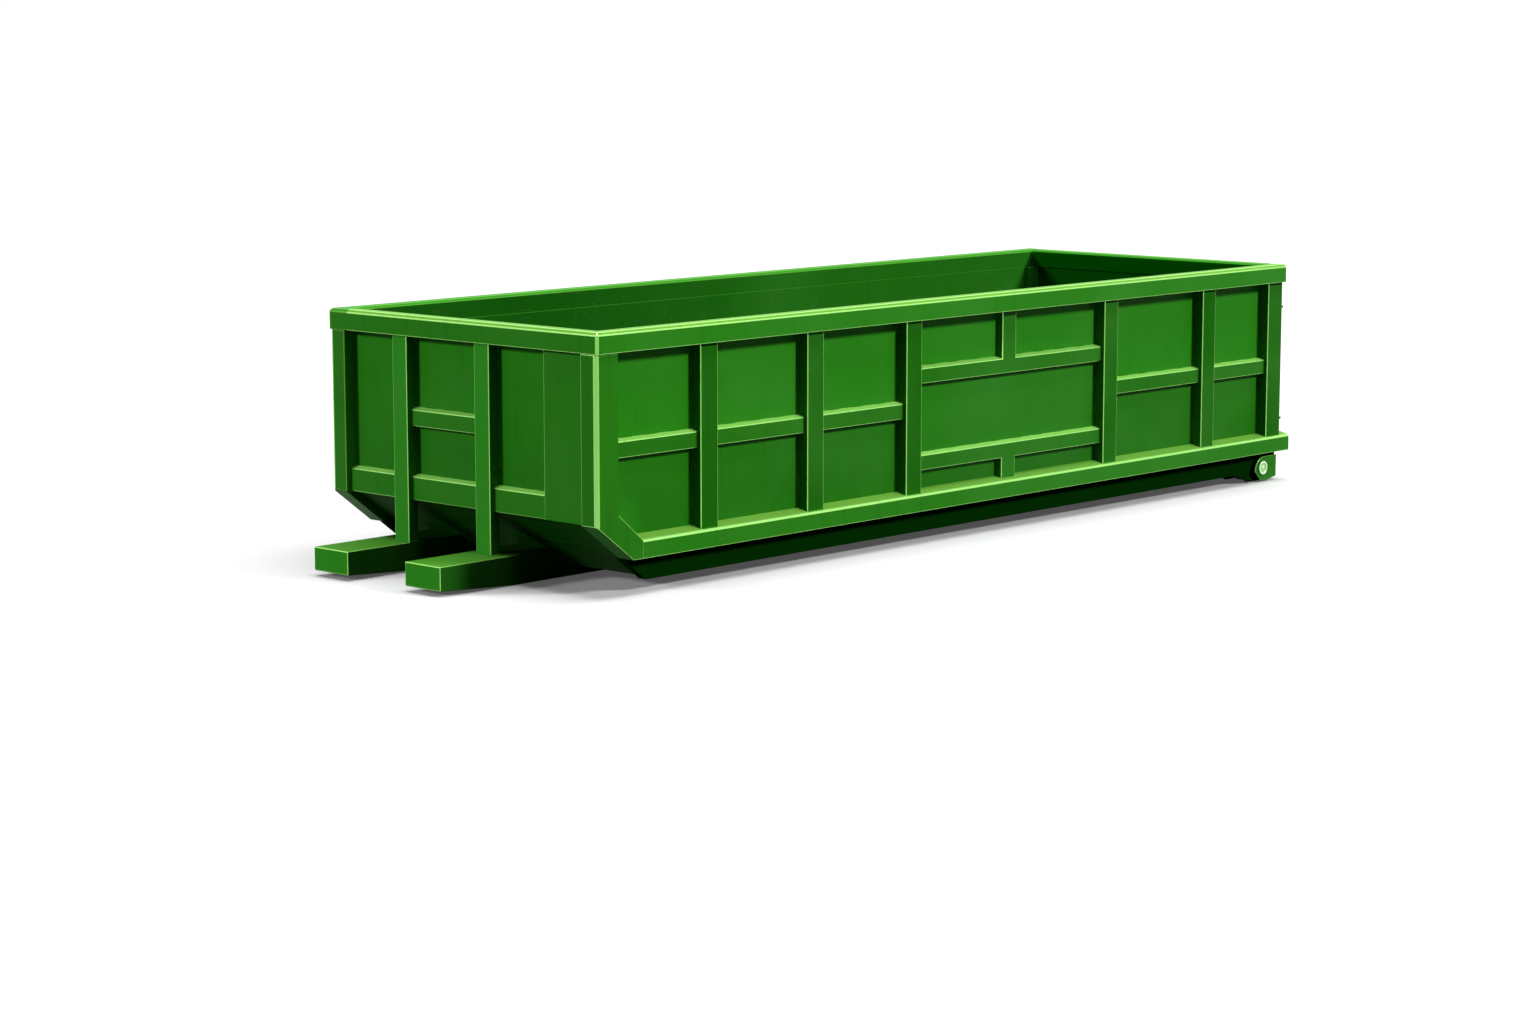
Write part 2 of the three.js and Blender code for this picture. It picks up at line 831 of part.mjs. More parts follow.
function rearSill() {
  const xStart = xRear - sillBeamFront;
  const outline = [
    [xStart, bottomRailBase],
    [xTail, bottomRailBase],
    [xTail, railTopFace - sillBeamBevel],
    [xTail - sillBeamBevel, railTopFace],
    [xStart, railTopFace],
  ];
  const inset = sheetInset + seamGap;
  const hole = shrink(outline, sillBeamWall);
  const tube = alongY(outline, yAt(near, inset), yAt(far, inset), [hole]);
  const postCuts = sides.map((side) => block(
    xStart - cutOverrun, xRear + seamGap,
    yAt(side, 0), yAt(side, postInset + cornerPostWidth + seamGap),
    bottomRailBase - cutOverrun, railTopFace + cutOverrun,
  ));
  return cut(tube, ...postCuts);
}

add('rear_sill', rearSill(), greenPaint);

// Rear wheels, each in a housing welded to the underframe's tail.

const housingOuter = wheelInset - wheelSideGap - housingPlate;
const housingInner = wheelInset + wheelWidth + wheelSideGap;
const earInset = housingOuter - earThickness;
const xHousing = xSillEnd + seamGap;
const xHousingEnd = xRear + housingRunOut;

function earOutline() {
  const crown = [xAxle + earCrownBack, zAxle + earTop];
  const shoulder = [xAxle - earFrontReach, zAxle - earShoulderDrop];
  const reach = crown[0] - shoulder[0];
  const rise = crown[1] - shoulder[1];
  const arc = Array.from({ length: earArcSteps + 1 }, (_, i) => {
    const angle = (i / earArcSteps) * (Math.PI / 2);
    return [crown[0] - reach * Math.cos(angle), shoulder[1] + rise * Math.sin(angle)];
  });
  const tail = xAxle + earRearReach;
  return [
    [tail, zAxle - earBottom + earHeelRise],
    [tail - earHeelRun, zAxle - earBottom],
    [xAxle - earFootBack, zAxle - earBottom],
    ...arc,
    [tail, zAxle + earTop],
  ];
}

function wheelHousing(side) {
  const outline = [
    [xHousing, sillTop],
    [xHousing, sillBase],
    [xHousing + housingFlat, sillBase],
    [xHousing + housingFlat + housingSlant, housingBase],
    [xHousingEnd - housingHeelRun, housingBase],
    [xHousingEnd, housingBase + housingHeelRise],
    [xHousingEnd, sillTop],
  ];
  const outerPlate = alongY(outline, yAt(side, housingOuter), yAt(side, housingOuter + housingPlate));
  const innerPlate = alongY(outline, yAt(side, housingInner), yAt(side, housingInner + housingPlate));
  const topPlate = block(
    xHousing, xAxle - wheelRadius - wheelSideGap,
    yAt(side, housingOuter), yAt(side, housingInner + housingPlate), sillTop - housingPlate, sillTop,
  );
  const frontPlate = block(
    xHousing, xHousing + housingPlate,
    yAt(side, housingOuter), yAt(side, housingInner + housingPlate), sillBase, sillTop,
  );
  const ear = alongY(earOutline(), yAt(side, earInset), yAt(side, housingOuter));
  const bore = rodY(
    axleRadius + axleGap, xAxle, zAxle,
    yAt(side, 0), yAt(side, housingInner + housingPlate + cutOverrun),
  );
  return cut(join(outerPlate, innerPlate, topPlate, frontPlate, ear), bore);
}

// A turned piece about a level axis along Y, its profile given as [radius, depth inwards].
function turned(side, profile, inset) {
  const points = profile.map(([radius, depth]) => new THREE.Vector2(radius, depth));
  const geometry = new THREE.LatheGeometry(points, roundSegments);
  if (side.sign > 0) {
    geometry.rotateX(Math.PI);
  }
  return geometry.translate(xAxle, yAt(side, inset), zAxle);
}

function wheel(side) {
  const bore = axleRadius + axleGap;
  const rim = wheelRadius - wheelRimWall;
  const webStart = (wheelWidth - wheelWebWidth) / 2;
  const webEnd = (wheelWidth + wheelWebWidth) / 2;
  const edge = wheelRadius - wheelEdgeBevel;
  const profile = [
    [bore, 0], [wheelHubRadius, 0], [wheelHubRadius, webStart], [rim, webStart], [rim, 0],
    [edge, 0], [wheelRadius, wheelEdgeBevel], [wheelRadius, wheelWidth - wheelEdgeBevel],
    [edge, wheelWidth], [rim, wheelWidth], [rim, webEnd], [wheelHubRadius, webEnd],
    [wheelHubRadius, wheelWidth], [bore, wheelWidth], [bore, 0],
  ];
  return turned(side, profile, wheelInset);
}

function axlePin(side) {
  const headFace = axleNippleLength;
  const recessFace = headFace + axleRecess;
  const headBack = headFace + axleHeadLength;
  const tip = earInset - seamGap - headBack;
  const length = housingInner + housingPlate + axleTail - tip;
  const profile = [
    [0, 0], [axleNippleRadius, 0], [axleNippleRadius, recessFace],
    [axleHeadRadius - axleRimWidth, recessFace], [axleHeadRadius - axleRimWidth, headFace],
    [axleHeadRadius, headFace], [axleHeadRadius, headBack], [axleRadius, headBack],
    [axleRadius, length], [0, length],
  ];
  return turned(side, profile, tip);
}

for (const side of sides) {
  add(`${side.name}_wheel_housing`, wheelHousing(side), greenPaint);
  add(`${side.name}_wheel`, wheel(side), wheelSteel);
  add(`${side.name}_axle_pin`, axlePin(side), wornSteel);
}

// Rear door leaf.

const leafInset = postInset + cornerPostWidth + leafEdgeGap;
const yLeafNear = yAt(near, leafInset);
const yLeafFar = yAt(far, leafInset);
const leafWidth = yLeafFar - yLeafNear;
const leafHeight = pieceTop - leafBase;
const xLockAxis = xRear + lockAxisBack;
const yLockAxis = yAt(near, lockAxisInset);
const [lowBearing, highBearing] = bearingHeights;
const dogStep = bearingHeight / 2 + bearingRest + dogThickness / 2;
const dogHeights = [lowBearing + dogStep, highBearing - dogStep];

// Every member of the leaf's frame, as [y0, y1, z0, z1].
function leafMembers() {
  const uprights = leafRibShares.map((share) => {
    const middle = yLeafNear + share * leafWidth;
    return [middle - leafRib / 2, middle + leafRib / 2, leafBase, pieceTop];
  });
  const belts = leafBeltShares.map((share) => {
    const middle = leafBase + share * leafHeight;
    return [yLeafNear, yLeafFar, middle - leafRib / 2, middle + leafRib / 2];
  });
  return [
    [yLeafNear, yLeafNear + leafMember, leafBase, pieceTop],
    [yLeafFar - leafMember, yLeafFar, leafBase, pieceTop],
    [yLeafNear, yLeafFar, leafBase, leafBase + leafMember],
    [yLeafNear, yLeafFar, pieceTop - leafMember, pieceTop],
    ...uprights,
    ...belts,
  ];
}

function doorFrame() {
  const members = leafMembers();
  const solid = join(...members.map(([y0, y1, z0, z1]) => block(xLeafIn, xLeafOut, y0, y1, z0, z1)));
  const hollow = join(...members.map(([y0, y1, z0, z1]) => block(
    xLeafIn - cutOverrun, xLeafOut - leafWall, y0 + leafWall, y1 - leafWall, z0 + leafWall, z1 - leafWall,
  )));
  const padFace = xLockAxis - dogHalfWidth - strikerGap;
  const padStart = leafInset + strikerEdge;
  const pads = dogHeights.map((height) => block(
    xLeafOut - leafWall, padFace, yAt(near, padStart), yAt(near, padStart + strikerLength),
    height - strikerHeight / 2, height + strikerHeight / 2,
  ));
  return join(cut(solid, hollow), ...pads);
}

function doorSkin() {
  return block(xSkin, xSkin + sheetThickness, yLeafNear, yLeafFar, leafBase, pieceTop);
}

function doorTopRail() {
  const outline = rimOutline.map(([u, z]) => [xLeafOut - u, z]);
  const hole = rimHole.map(([u, z]) => [xLeafOut - u, z]);
  const start = yAt(near, rimWidth + doorRailGap);
  const tube = alongY(outline, start, yAt(far, rimWidth + doorRailGap), [hole]);
  return join(tube, alongY(outline, start, start + rimWall));
}

add('door_frame', doorFrame(), greenPaint);
add('door_skin', doorSkin(), greenPaint);
add('door_top_rail', doorTopRail(), greenPaint);

// Door hinges.

const xHinge = xRear + hingeAxisBack;
const yHinge = yAt(far, hingeAxisInset);
const hingeBore = hingePinRadius + hingeBoreGap;
const hingeLugStep = hingeBarrelHeight / 2 + hingeLugGap;
const hingeHalfHeight = hingeLugStep + hingeLugThickness;

function hingeBoreTool() {
  return rodZ(hingeBore, xHinge, yHinge, 0, rimTop);
}

function hingeStrap(height) {
  const base = height - hingeBarrelHeight / 2;
  const barrel = rodZ(hingeBarrelRadius, xHinge, yHinge, base, base + hingeBarrelHeight);
  const face = xLeafOut + seamGap;
  const strap = block(
    face, face + hingeStrapThickness, yHinge, yHinge - hingeStrapLength,
    height - hingeStrapHeight / 2, height + hingeStrapHeight / 2,
  );
  return cut(join(barrel, strap), hingeBoreTool());
}

function hingeBracket(height) {
  const face = xRear + seamGap;
  const plate = block(
    face, face + hingePlateThickness, yAt(far, postInset), yAt(far, postInset + hingePlateReach),
    height - hingeHalfHeight, height + hingeHalfHeight,
  );
  const lugs = [height - hingeHalfHeight, height + hingeLugStep].map((z) => join(
    rodZ(hingeBarrelRadius, xHinge, yHinge, z, z + hingeLugThickness),
    block(
      face, xHinge, yAt(far, postInset), yHinge - hingeBarrelRadius, z, z + hingeLugThickness,
    ),
  ));
  return cut(join(plate, ...lugs), hingeBoreTool());
}

function hingePin() {
  const [lowHinge, highHinge] = hingeHeights;
  const bottom = lowHinge - hingeHalfHeight - hingePinStub;
  const top = highHinge + hingeHalfHeight + seamGap;
  return join(
    rodZ(hingePinRadius, xHinge, yHinge, bottom, top + hingePinHeadHeight / 2),
    rodZ(hingePinHeadRadius, xHinge, yHinge, top, top + hingePinHeadHeight),
  );
}

hingeHeights.forEach((height, i) => {
  add(`door_hinge_strap_${i + 1}`, hingeStrap(height), greenPaint);
  add(`hinge_bracket_${i + 1}`, hingeBracket(height), greenPaint);
});
add('hinge_pin', hingePin(), wornSteel);

// Door lock.

const leverY = yLockAxis - leverOffset;
const leverFace = xLockAxis + leverLugThickness / 2 + leverStandOff;

function lockBar() {
  const [lowDog, highDog] = dogHeights;
  const reach = dogThickness / 2 + bearingHeight + lockBarReach;
  const bar = rodZ(lockBarRadius, xLockAxis, yLockAxis, lowDog - reach, highDog + reach);
  const dogs = dogHeights.map((height) => join(
    rodZ(lockHubRadius, xLockAxis, yLockAxis, height - dogThickness / 2, height + dogThickness / 2),
    block(
      xLockAxis - dogHalfWidth, xLockAxis + dogHalfWidth, yLockAxis, yLockAxis - dogLength,
      height - dogThickness / 2, height + dogThickness / 2,
    ),
  ));
  const half = leverLugThickness / 2;
  const lug = block(
    xLockAxis - half, xLockAxis + half, yLockAxis, leverY,
    leverHeight - leverLugRadius, leverHeight + leverLugRadius,
  );
  const lugEnd = rodX(leverLugRadius, leverY, leverHeight, xLockAxis - half, xLockAxis + half);
  const studEnd = leverFace + leverThickness + leverBoreGap;
  const stud = rodX(leverStudRadius, leverY, leverHeight, xLockAxis, studEnd + leverStudHead / 2);
  const studHead = rodX(leverStudHeadRadius, leverY, leverHeight, studEnd, studEnd + leverStudHead);
  return join(bar, ...dogs, lug, lugEnd, stud, studHead);
}

function lockLever() {
  const bar = block(
    leverFace, leverFace + leverThickness, leverY - leverWidth / 2, leverY + leverWidth / 2,
    leverHeight - leverLength, leverHeight,
  );
  const eye = rodX(leverWidth / 2, leverY, leverHeight, leverFace, leverFace + leverThickness);
  const gripBase = leverHeight - leverLength;
  const grip = rodZ(
    leverGripRadius, leverFace + leverThickness / 2, leverY, gripBase, gripBase + leverGripLength,
  );
  const bore = rodX(
    leverStudRadius + leverBoreGap, leverY, leverHeight,
    leverFace - cutOverrun, leverFace + leverThickness + cutOverrun,
  );
  return cut(join(bar, eye, grip), bore);
}

function lockBearing(height) {
  const x0 = xRear + seamGap;
  const body = block(
    x0, xLockAxis + bearingHalfWidth, yLockAxis - bearingHalfWidth, yLockAxis + bearingHalfWidth,
    height - bearingHeight / 2, height + bearingHeight / 2,
  );
  return cut(body, rodZ(lockBarRadius + lockBoreGap, xLockAxis, yLockAxis, 0, rimTop));
}

add('lock_bar', lockBar(), greenPaint);
add('lock_lever', lockLever(), greenPaint);
bearingHeights.forEach((height, i) => {
  add(`lock_bearing_${i + 1}`, lockBearing(height), greenPaint);
});

export default dumpster;
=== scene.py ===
"""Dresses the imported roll-off dumpster: welded steel, enamel, wheels, rear door and studio."""

import json
import math

import bmesh
import bpy
from bpy.props import FloatProperty, FloatVectorProperty, IntProperty, PointerProperty
from mathutils import Matrix, Vector


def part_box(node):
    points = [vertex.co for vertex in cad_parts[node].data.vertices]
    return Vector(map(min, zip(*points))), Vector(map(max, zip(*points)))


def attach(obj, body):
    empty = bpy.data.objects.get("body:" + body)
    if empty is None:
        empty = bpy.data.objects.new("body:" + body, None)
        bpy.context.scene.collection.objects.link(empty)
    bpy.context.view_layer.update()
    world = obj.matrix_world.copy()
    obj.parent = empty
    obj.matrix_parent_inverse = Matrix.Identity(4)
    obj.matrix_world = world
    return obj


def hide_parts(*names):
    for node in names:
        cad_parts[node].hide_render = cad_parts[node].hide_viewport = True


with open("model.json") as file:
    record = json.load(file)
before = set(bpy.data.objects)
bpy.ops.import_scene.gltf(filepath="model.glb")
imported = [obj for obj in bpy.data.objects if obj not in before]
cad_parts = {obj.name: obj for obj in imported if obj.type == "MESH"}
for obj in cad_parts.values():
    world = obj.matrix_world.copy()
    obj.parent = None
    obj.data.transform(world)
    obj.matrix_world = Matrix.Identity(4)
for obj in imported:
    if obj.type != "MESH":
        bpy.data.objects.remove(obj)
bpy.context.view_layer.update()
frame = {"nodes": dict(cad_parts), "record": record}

bl_info = {
    "name": "Roll-off dumpster",
    "version": (1, 0, 0),
    "blender": (4, 5, 0),
    "location": "View3D > Sidebar > Dumpster",
    "description": "Dresses the packed dumpster frame and sets up its studio",
    "category": "Object",
}

# One millimetre in metres. Lengths are in metres where nothing else is said.
MM = 0.001

# How far apart two packed corners may lie and still be one, within a piece and across a seam.
MERGE_DISTANCE = 0.00002
SEAM_REACH = 0.0006

# The angle up to which faces are one flat face, and those from which they fold and look sharp.
LEVEL_ANGLE = math.radians(0.6)
FOLD_ANGLE = math.radians(20)
SHARP_ANGLE = math.radians(32)

# The part of a face's normal from which it faces one way squarely, rises or falls.
SQUARE = 0.9
RISING = 0.6
FALLING = -0.3

# The sides and the way each looks along Y.
SIDES = {"near": -1, "far": 1}


def linear(hex_colour):
    """An sRGB hex colour as linear red, green and blue."""
    parts = [int(hex_colour[i:i + 2], 16) / 255 for i in (1, 3, 5)]
    return [p / 12.92 if p <= 0.04045 else ((p + 0.055) / 1.055) ** 2.4 for p in parts]


def colour_prop(name, description, hex_colour):
    """A colour that a user may change, given as sRGB hex and held as linear."""
    return FloatVectorProperty(
        name=name, description=description, subtype="COLOR", size=3, min=0, max=1,
        default=linear(hex_colour),
    )


def length_prop(name, description, millimetres):
    """A length that a user may change, given in millimetres."""
    return FloatProperty(
        name=name, description=description, subtype="DISTANCE", unit="LENGTH",
        default=millimetres * MM, min=0,
    )


class DumpsterPaint(bpy.types.PropertyGroup):
    """Colours of the container's finishes."""

    sheet: colour_prop("Sheet enamel", "Enamel on the flat sheets", "#2A8B13")
    rail: colour_prop("Rail enamel", "Enamel on the rails", "#2B8516")
    hook: colour_prop("Hook post enamel", "Enamel on the front posts", "#349A21")
    # Painted shade: the folded side posts take a darker copy of the green enamel.
    post: colour_prop("Post enamel", "Deeper enamel on the folded side posts", "#1D6B0D")
    frame: colour_prop("Frame enamel", "Enamel on the front corner frames", "#287D12")
    bar: colour_prop("Bar enamel", "Enamel on the pressed cross bars", "#24760E")
    faded: colour_prop("Faded enamel", "Enamel that the sun has chalked", "#4C9A3C")
    # Painted highlight: pale enamel for the roundings along folds.
    edge: colour_prop("Edge enamel", "Enamel drawn thin and bright along folds", "#A4E87A")
    # Painted highlight: pale enamel on the rounded front corners.
    corner: colour_prop("Corner enamel", "Enamel rubbed pale on the front corners", "#8CCF68")
    # Painted highlights: paler enamel for faces turned up, on the rails and on the bars.
    ledge: colour_prop("Ledge enamel", "Enamel chalked on rails turned up", "#649B38")
    shelf: colour_prop("Shelf enamel", "Enamel chalked paler on the tops of the bars", "#84C759")
    # Dark enamel: the colour of rain streaks, of the darkening towards the bottom, and the painted
    # shade under the low roundings.
    grime_and_shade: colour_prop("Grimed enamel", "Enamel under splashed dirt", "#0E3607")
    # Painted shade: a darker enamel on the ground rails' sides.
    flank: colour_prop("Flank enamel", "Enamel dulled on the ground rails' sides", "#1A560D")
    # Painted shade: a duller copy of the nose enamel for the ground rails' tops, toned against the
    # light from above; the tops are also scuffed.
    deck: colour_prop("Deck enamel", "Enamel scuffed on the ground rails' tops", "#407A21")
    # Painted shade: near-black green laid on what hangs under the tub.
    under_tub_shade: colour_prop("Road film", "Dark film on what hangs under the tub", "#042F02")
    # Painted shade: a darker enamel for the load space, which loads also scuff.
    inside: colour_prop("Load space enamel", "Enamel dulled by loads", "#1E6A11")
    # Painted shade: near-black enamel for the door's lining and towards the front of the load
    # space.
    shade: colour_prop("Door lining enamel", "Enamel blackened where loads slide out", "#054902")
    primer: colour_prop("Primer", "Grey primer that shows in scratches", "#5E6B58")
    rust: colour_prop("Rust", "Light rust in scratches", "#6A4023")
    bare_steel: colour_prop("Bare steel", "Greased steel of the hinge pin", "#8E928C")
    turned_steel: colour_prop("Turned steel", "Bright turned ends of the axles", "#E6F2DF")
    wheel_steel: colour_prop("Wheel steel", "Dark rolled steel of the wheels", "#34373A")
    studio: colour_prop("Studio", "White backdrop", "#FFFFFF")


class DumpsterSizes(bpy.types.PropertyGroup):
    """Sizes of the dressed details."""

    fold_width: length_prop("Fold width", "Width of the rounding along folds", 10)
    plate_width: length_prop("Plate edge width", "Width of the rounding along thin plates", 2.4)
    thick_width: length_prop("Thick edge width", "Width of the rounding along thick plates", 4.8)
    frame_corner: length_prop("Frame corner", "Radius of the upright front corners", 23)
    rim_corner: length_prop("Rim corner", "Radius of the rim's front corners", 15)
    bead_radius: length_prop("Weld radius", "Radius of the weld beads", 5)
    bead_pitch: length_prop("Weld pitch", "Distance between weld ripples", 9)
    stitch: length_prop("Stitch length", "Length of one stitch weld", 90)
    stitch_gap: length_prop("Stitch gap", "Bare length between two stitch welds", 150)
    fold_segments: IntProperty(
        name="Fold segments", description="Facets across a fold", default=3, min=1,
    )
    turn_steps: IntProperty(
        name="Turning steps", description="Facets around turned parts", default=96, min=3,
    )


def sizes():
    """The sizes as the user has set them."""
    return bpy.context.scene.dumpster_sizes


def paint():
    """The colours as the user has set them."""
    return bpy.context.scene.dumpster_paint


# Materials.

# Patterns: size in millimetres, the noise values at which one starts and is full, then the noise's
# detail, its roughness and how far it is stretched along each axis. Scratches and freckles of rust
# are too fine to show, so they are drawn from a size of 4 mm.
SUN_PATCHES = (900, 0.35, 0.75, 3.0)
STREAKED_AREAS = (900, 0.6, 0.4, 3.0)
RAIN_STREAKS = (40, 0.5, 0.8, 4.0, 0.6, (1, 1, 16))
DARK_CLOUDS = (350, 0.2, 0.8, 4.0, 0.6)
SCRATCHES_ALONG = (4, 0.64, 0.69, 3.0, 0.5, (70, 3, 2))
SCRATCHES_ACROSS = (4, 0.65, 0.7, 3.0, 0.5, (3, 60, 30))
SCRATCHED_AREAS = (250, 0.46, 0.64, 4.0, 0.6)
RUSTED_AREAS = (80, 0.45, 0.6, 3.0)
STEEL_TONES = (30, 0.3, 0.7, 4.0, 0.6)
FRECKLES = (4, 0.6, 0.68, 3.0, 0.7)
FRECKLED_AREAS = (60, 0.5, 0.7, 2.0)

# Unevenness of a finish: size in millimetres, the noise's detail and roughness. The sprayer's
# orange peel is too fine to show, so it is drawn at 4 mm.
SHINE_PATCHES = (20, 4.0, 0.65)
PLATE_WAVES = (500, 1.0)
ORANGE_PEEL = (4, 2.0)

# Depths in millimetres of the plate's waves, of the orange peel and of tool marks.
WAVE_DEPTH = 3
PEEL_DEPTH = 0.06
MARK_DEPTH = 0.2

# How far a finish's roughness wavers below and above what is given.
ENAMEL_WAVER = (0.06, 0.08)
STEEL_WAVER = (0.08, 0.12)

# Where a finish begins to change along the container, and where it has changed: where the painted
# highlights give way on the far side, where the painted shade grows towards the front wall of the
# load space, where the enamel darkens towards the bottom, and where the painted shade under the tub
# begins behind the ground rails' noses.
FAR_SIDE_Y = (0.96, 0.99)
FRONT_SHADE_X = (1.7, -1.7)
DARKER_BELOW_Z = (1.25, 0.2)
BEHIND_NOSE_X = (-3.2, -2.98)

# How dark rain streaks are, and how the darkening towards the bottom is shared between clouds and a
# veil.
STREAK_GRIME = 0.22
CLOUD_SHARE = 0.4
VEIL_SHARE = 0.8

# How much darker greased steel is in its dark tones.
DARK_TONE = 0.7

SMOOTH = {"clamp": True, "interpolation_type": "SMOOTHSTEP"}


def add_node(tree, kind, settings=(), **links):
    """Adds a node, gives it its settings, and sets or links its inputs.

    An input goes by its name, with _ for each space, or by _ and its number. A colour is given as
    red, green and blue, and is opaque.
    """
    node = tree.nodes.new(kind)
    for key, value in dict(settings).items():
        setattr(node, key, value)
    for key, value in links.items():
        place = key[1:] if key.startswith("_") else key.replace("_", " ")
        socket = node.inputs[int(place)] if place.isdigit() else node.inputs[place]
        if isinstance(value, bpy.types.NodeSocket):
            tree.links.new(value, socket)
        elif socket.type == "RGBA":
            socket.default_value = (*value, 1)
        else:
            socket.default_value = value
    return node


def new_material(name):
    """An empty material and its node tree."""
    material = bpy.data.materials.new(name)
    material.use_nodes = True
    material.node_tree.nodes.clear()
    return material, material.node_tree


def grain(tree, place, size, detail=2.0, roughness=0.5, stretch=(1, 1, 1)):
    """Noise whose blobs are about size millimetres across, stretched along the axes as asked."""
    mapped = add_node(
        tree, "ShaderNodeMapping", Vector=place,
        Scale=tuple(1 / (size * MM * times) for times in stretch),
    )
    noise = add_node(
        tree, "ShaderNodeTexNoise", Vector=mapped.outputs[0], Scale=1.0, Detail=detail,
        Roughness=roughness,
    )
    return noise.outputs[0]


def blotches(tree, place, size, start, full, *shape):
    """Blotches about size millimetres across, with soft rims between the start and full values."""
    spots = grain(tree, place, size, *shape)
    cut = add_node(tree, "ShaderNodeMapRange", SMOOTH, Value=spots, From_Min=start, From_Max=full)
    return cut.outputs["Result"]


def fade(tree, place, axis, start, full):
    """A change along an axis: none on this side of start, all beyond full."""
    along = add_node(tree, "ShaderNodeSeparateXYZ", Vector=place).outputs[axis]
    cut = add_node(tree, "ShaderNodeMapRange", SMOOTH, Value=along, From_Min=start, From_Max=full)
    return cut.outputs["Result"]


def coat(tree, under, over, *shares):
    """Lays one colour over another, as thick as the product of the shares."""
    thickness = shares[0]
    for share in shares[1:]:
        product = add_node(
            tree, "ShaderNodeMath", {"operation": "MULTIPLY"}, _0=thickness, _1=share,
        )
        thickness = product.outputs[0]
    mixed = add_node(
        tree, "ShaderNodeMix", {"data_type": "RGBA"}, _0=thickness, _6=under, _7=over,
    )
    return mixed.outputs[2]


def wavering(tree, place, roughness, below, above, *pattern):
    """A roughness that wavers below and above the one given, with the grain of a pattern."""
    value = add_node(
        tree, "ShaderNodeMapRange", Value=grain(tree, place, *pattern), To_Min=roughness - below,
        To_Max=roughness + above,
    )
    return value.outputs[0]


def rippled(tree, place, depth, *pattern, **under):
    """A normal rippled depth millimetres by the grain of a pattern, over another if given."""
    bump = add_node(
        tree, "ShaderNodeBump", Height=grain(tree, place, *pattern), Distance=depth * MM,
        Strength=1.0, **under,
    )
    return bump.outputs[0]


def enamel(
    name, main, darker_below=0.0, under_tub_shade=0.0, scratches=0.0, roughness=0.42, gloss=0.04, chalk=0.3,
    gleam=0.0, far_side=None, front_shade=0.0,
):
    """Green alkyd enamel, sprayed on rolled steel plate: smooth, half gloss, chalking in the sun.

    splash is how much darker it grows towards the floor's height; in the load space that darkening
    is painted shade. road is how much painted shade, a near-black green, covers what lies under the
    tub behind the ground rails' noses. gleam is the share of steel that shines through where the
    paint is rubbed thin. far_side is the plainer colour that the far side keeps, where the painted
    highlights are left off. scrubbed is how much painted shade darkens the load space towards its
    front wall.
    Rolled plate is never quite flat, so its shine wavers over half a metre.
    """
    p = paint()
    material, tree = new_material(name)
    place = add_node(tree, "ShaderNodeTexCoord").outputs["Object"]
    colour = coat(tree, main, p.faded, blotches(tree, place, *SUN_PATCHES), chalk)
    # On the far side the painted highlights give way to a plainer colour.
    if far_side is not None:
        colour = coat(tree, colour, far_side, fade(tree, place, "Y", *FAR_SIDE_Y))
    # Painted shade, darker towards the front wall of the load space.
    if front_shade:
        colour = coat(tree, colour, p.shade, fade(tree, place, "X", *FRONT_SHADE_X), front_shade)
    colour = coat(
        tree, colour, p.grime_and_shade, blotches(tree, place, *RAIN_STREAKS),
        blotches(tree, place, *STREAKED_AREAS), STREAK_GRIME,
    )
    # Darker towards the floor's height, in clouds over a veil; in the load space this is painted
    # shade.
    darkening = add_node(
        tree, "ShaderNodeMath", {"operation": "MULTIPLY_ADD"},
        _0=blotches(tree, place, *DARK_CLOUDS), _1=CLOUD_SHARE * darker_below, _2=VEIL_SHARE * darker_below,
    )
    colour = coat(tree, colour, p.grime_and_shade, fade(tree, place, "Z", *DARKER_BELOW_Z), darkening.outputs[0])
    # Painted shade under the tub, from behind the ground rails' noses.
    if under_tub_shade:
        colour = coat(tree, colour, p.under_tub_shade, fade(tree, place, "X", *BEHIND_NOSE_X), under_tub_shade)
    if scratches:
        lines = add_node(
            tree, "ShaderNodeMath", {"operation": "MAXIMUM"},
            _0=blotches(tree, place, *SCRATCHES_ALONG), _1=blotches(tree, place, *SCRATCHES_ACROSS),
        )
        metal = coat(tree, p.primer, p.rust, blotches(tree, place, *RUSTED_AREAS))
        areas = blotches(tree, place, *SCRATCHED_AREAS)
        colour = coat(tree, colour, metal, lines.outputs[0], areas, scratches)
    plate = rippled(tree, place, WAVE_DEPTH, *PLATE_WAVES)
    shader = add_node(
        tree, "ShaderNodeBsdfPrincipled", Base_Color=colour,
        Roughness=wavering(tree, place, roughness, *ENAMEL_WAVER, *SHINE_PATCHES),
        Normal=rippled(tree, place, PEEL_DEPTH, *ORANGE_PEEL, Normal=plate),
        Specular_IOR_Level=gloss, Metallic=gleam,
    )
    add_node(tree, "ShaderNodeOutputMaterial", Surface=shader.outputs[0])
    return material


def steel(name, colour, roughness, marks, metallic=1.0, freckles=0.7):
    """Rolled or turned steel: dull grease, a few freckles of rust and fine marks of the tool.

    marks is the size of the marks in millimetres, coarser than real ones so that they show.
    """
    material, tree = new_material(name)
    place = add_node(tree, "ShaderNodeTexCoord").outputs["Object"]
    dark = [part * DARK_TONE for part in colour]
    base = coat(tree, dark, colour, blotches(tree, place, *STEEL_TONES))
    base = coat(
        tree, base, paint().rust, blotches(tree, place, *FRECKLES),
        blotches(tree, place, *FRECKLED_AREAS), freckles,
    )
    shader = add_node(
        tree, "ShaderNodeBsdfPrincipled", Base_Color=base,
        Roughness=wavering(tree, place, roughness, *STEEL_WAVER, marks, 3.0),
        Normal=rippled(tree, place, MARK_DEPTH, marks, 3.0, 0.6), Metallic=metallic,
    )
    add_node(tree, "ShaderNodeOutputMaterial", Surface=shader.outputs[0])
    return material


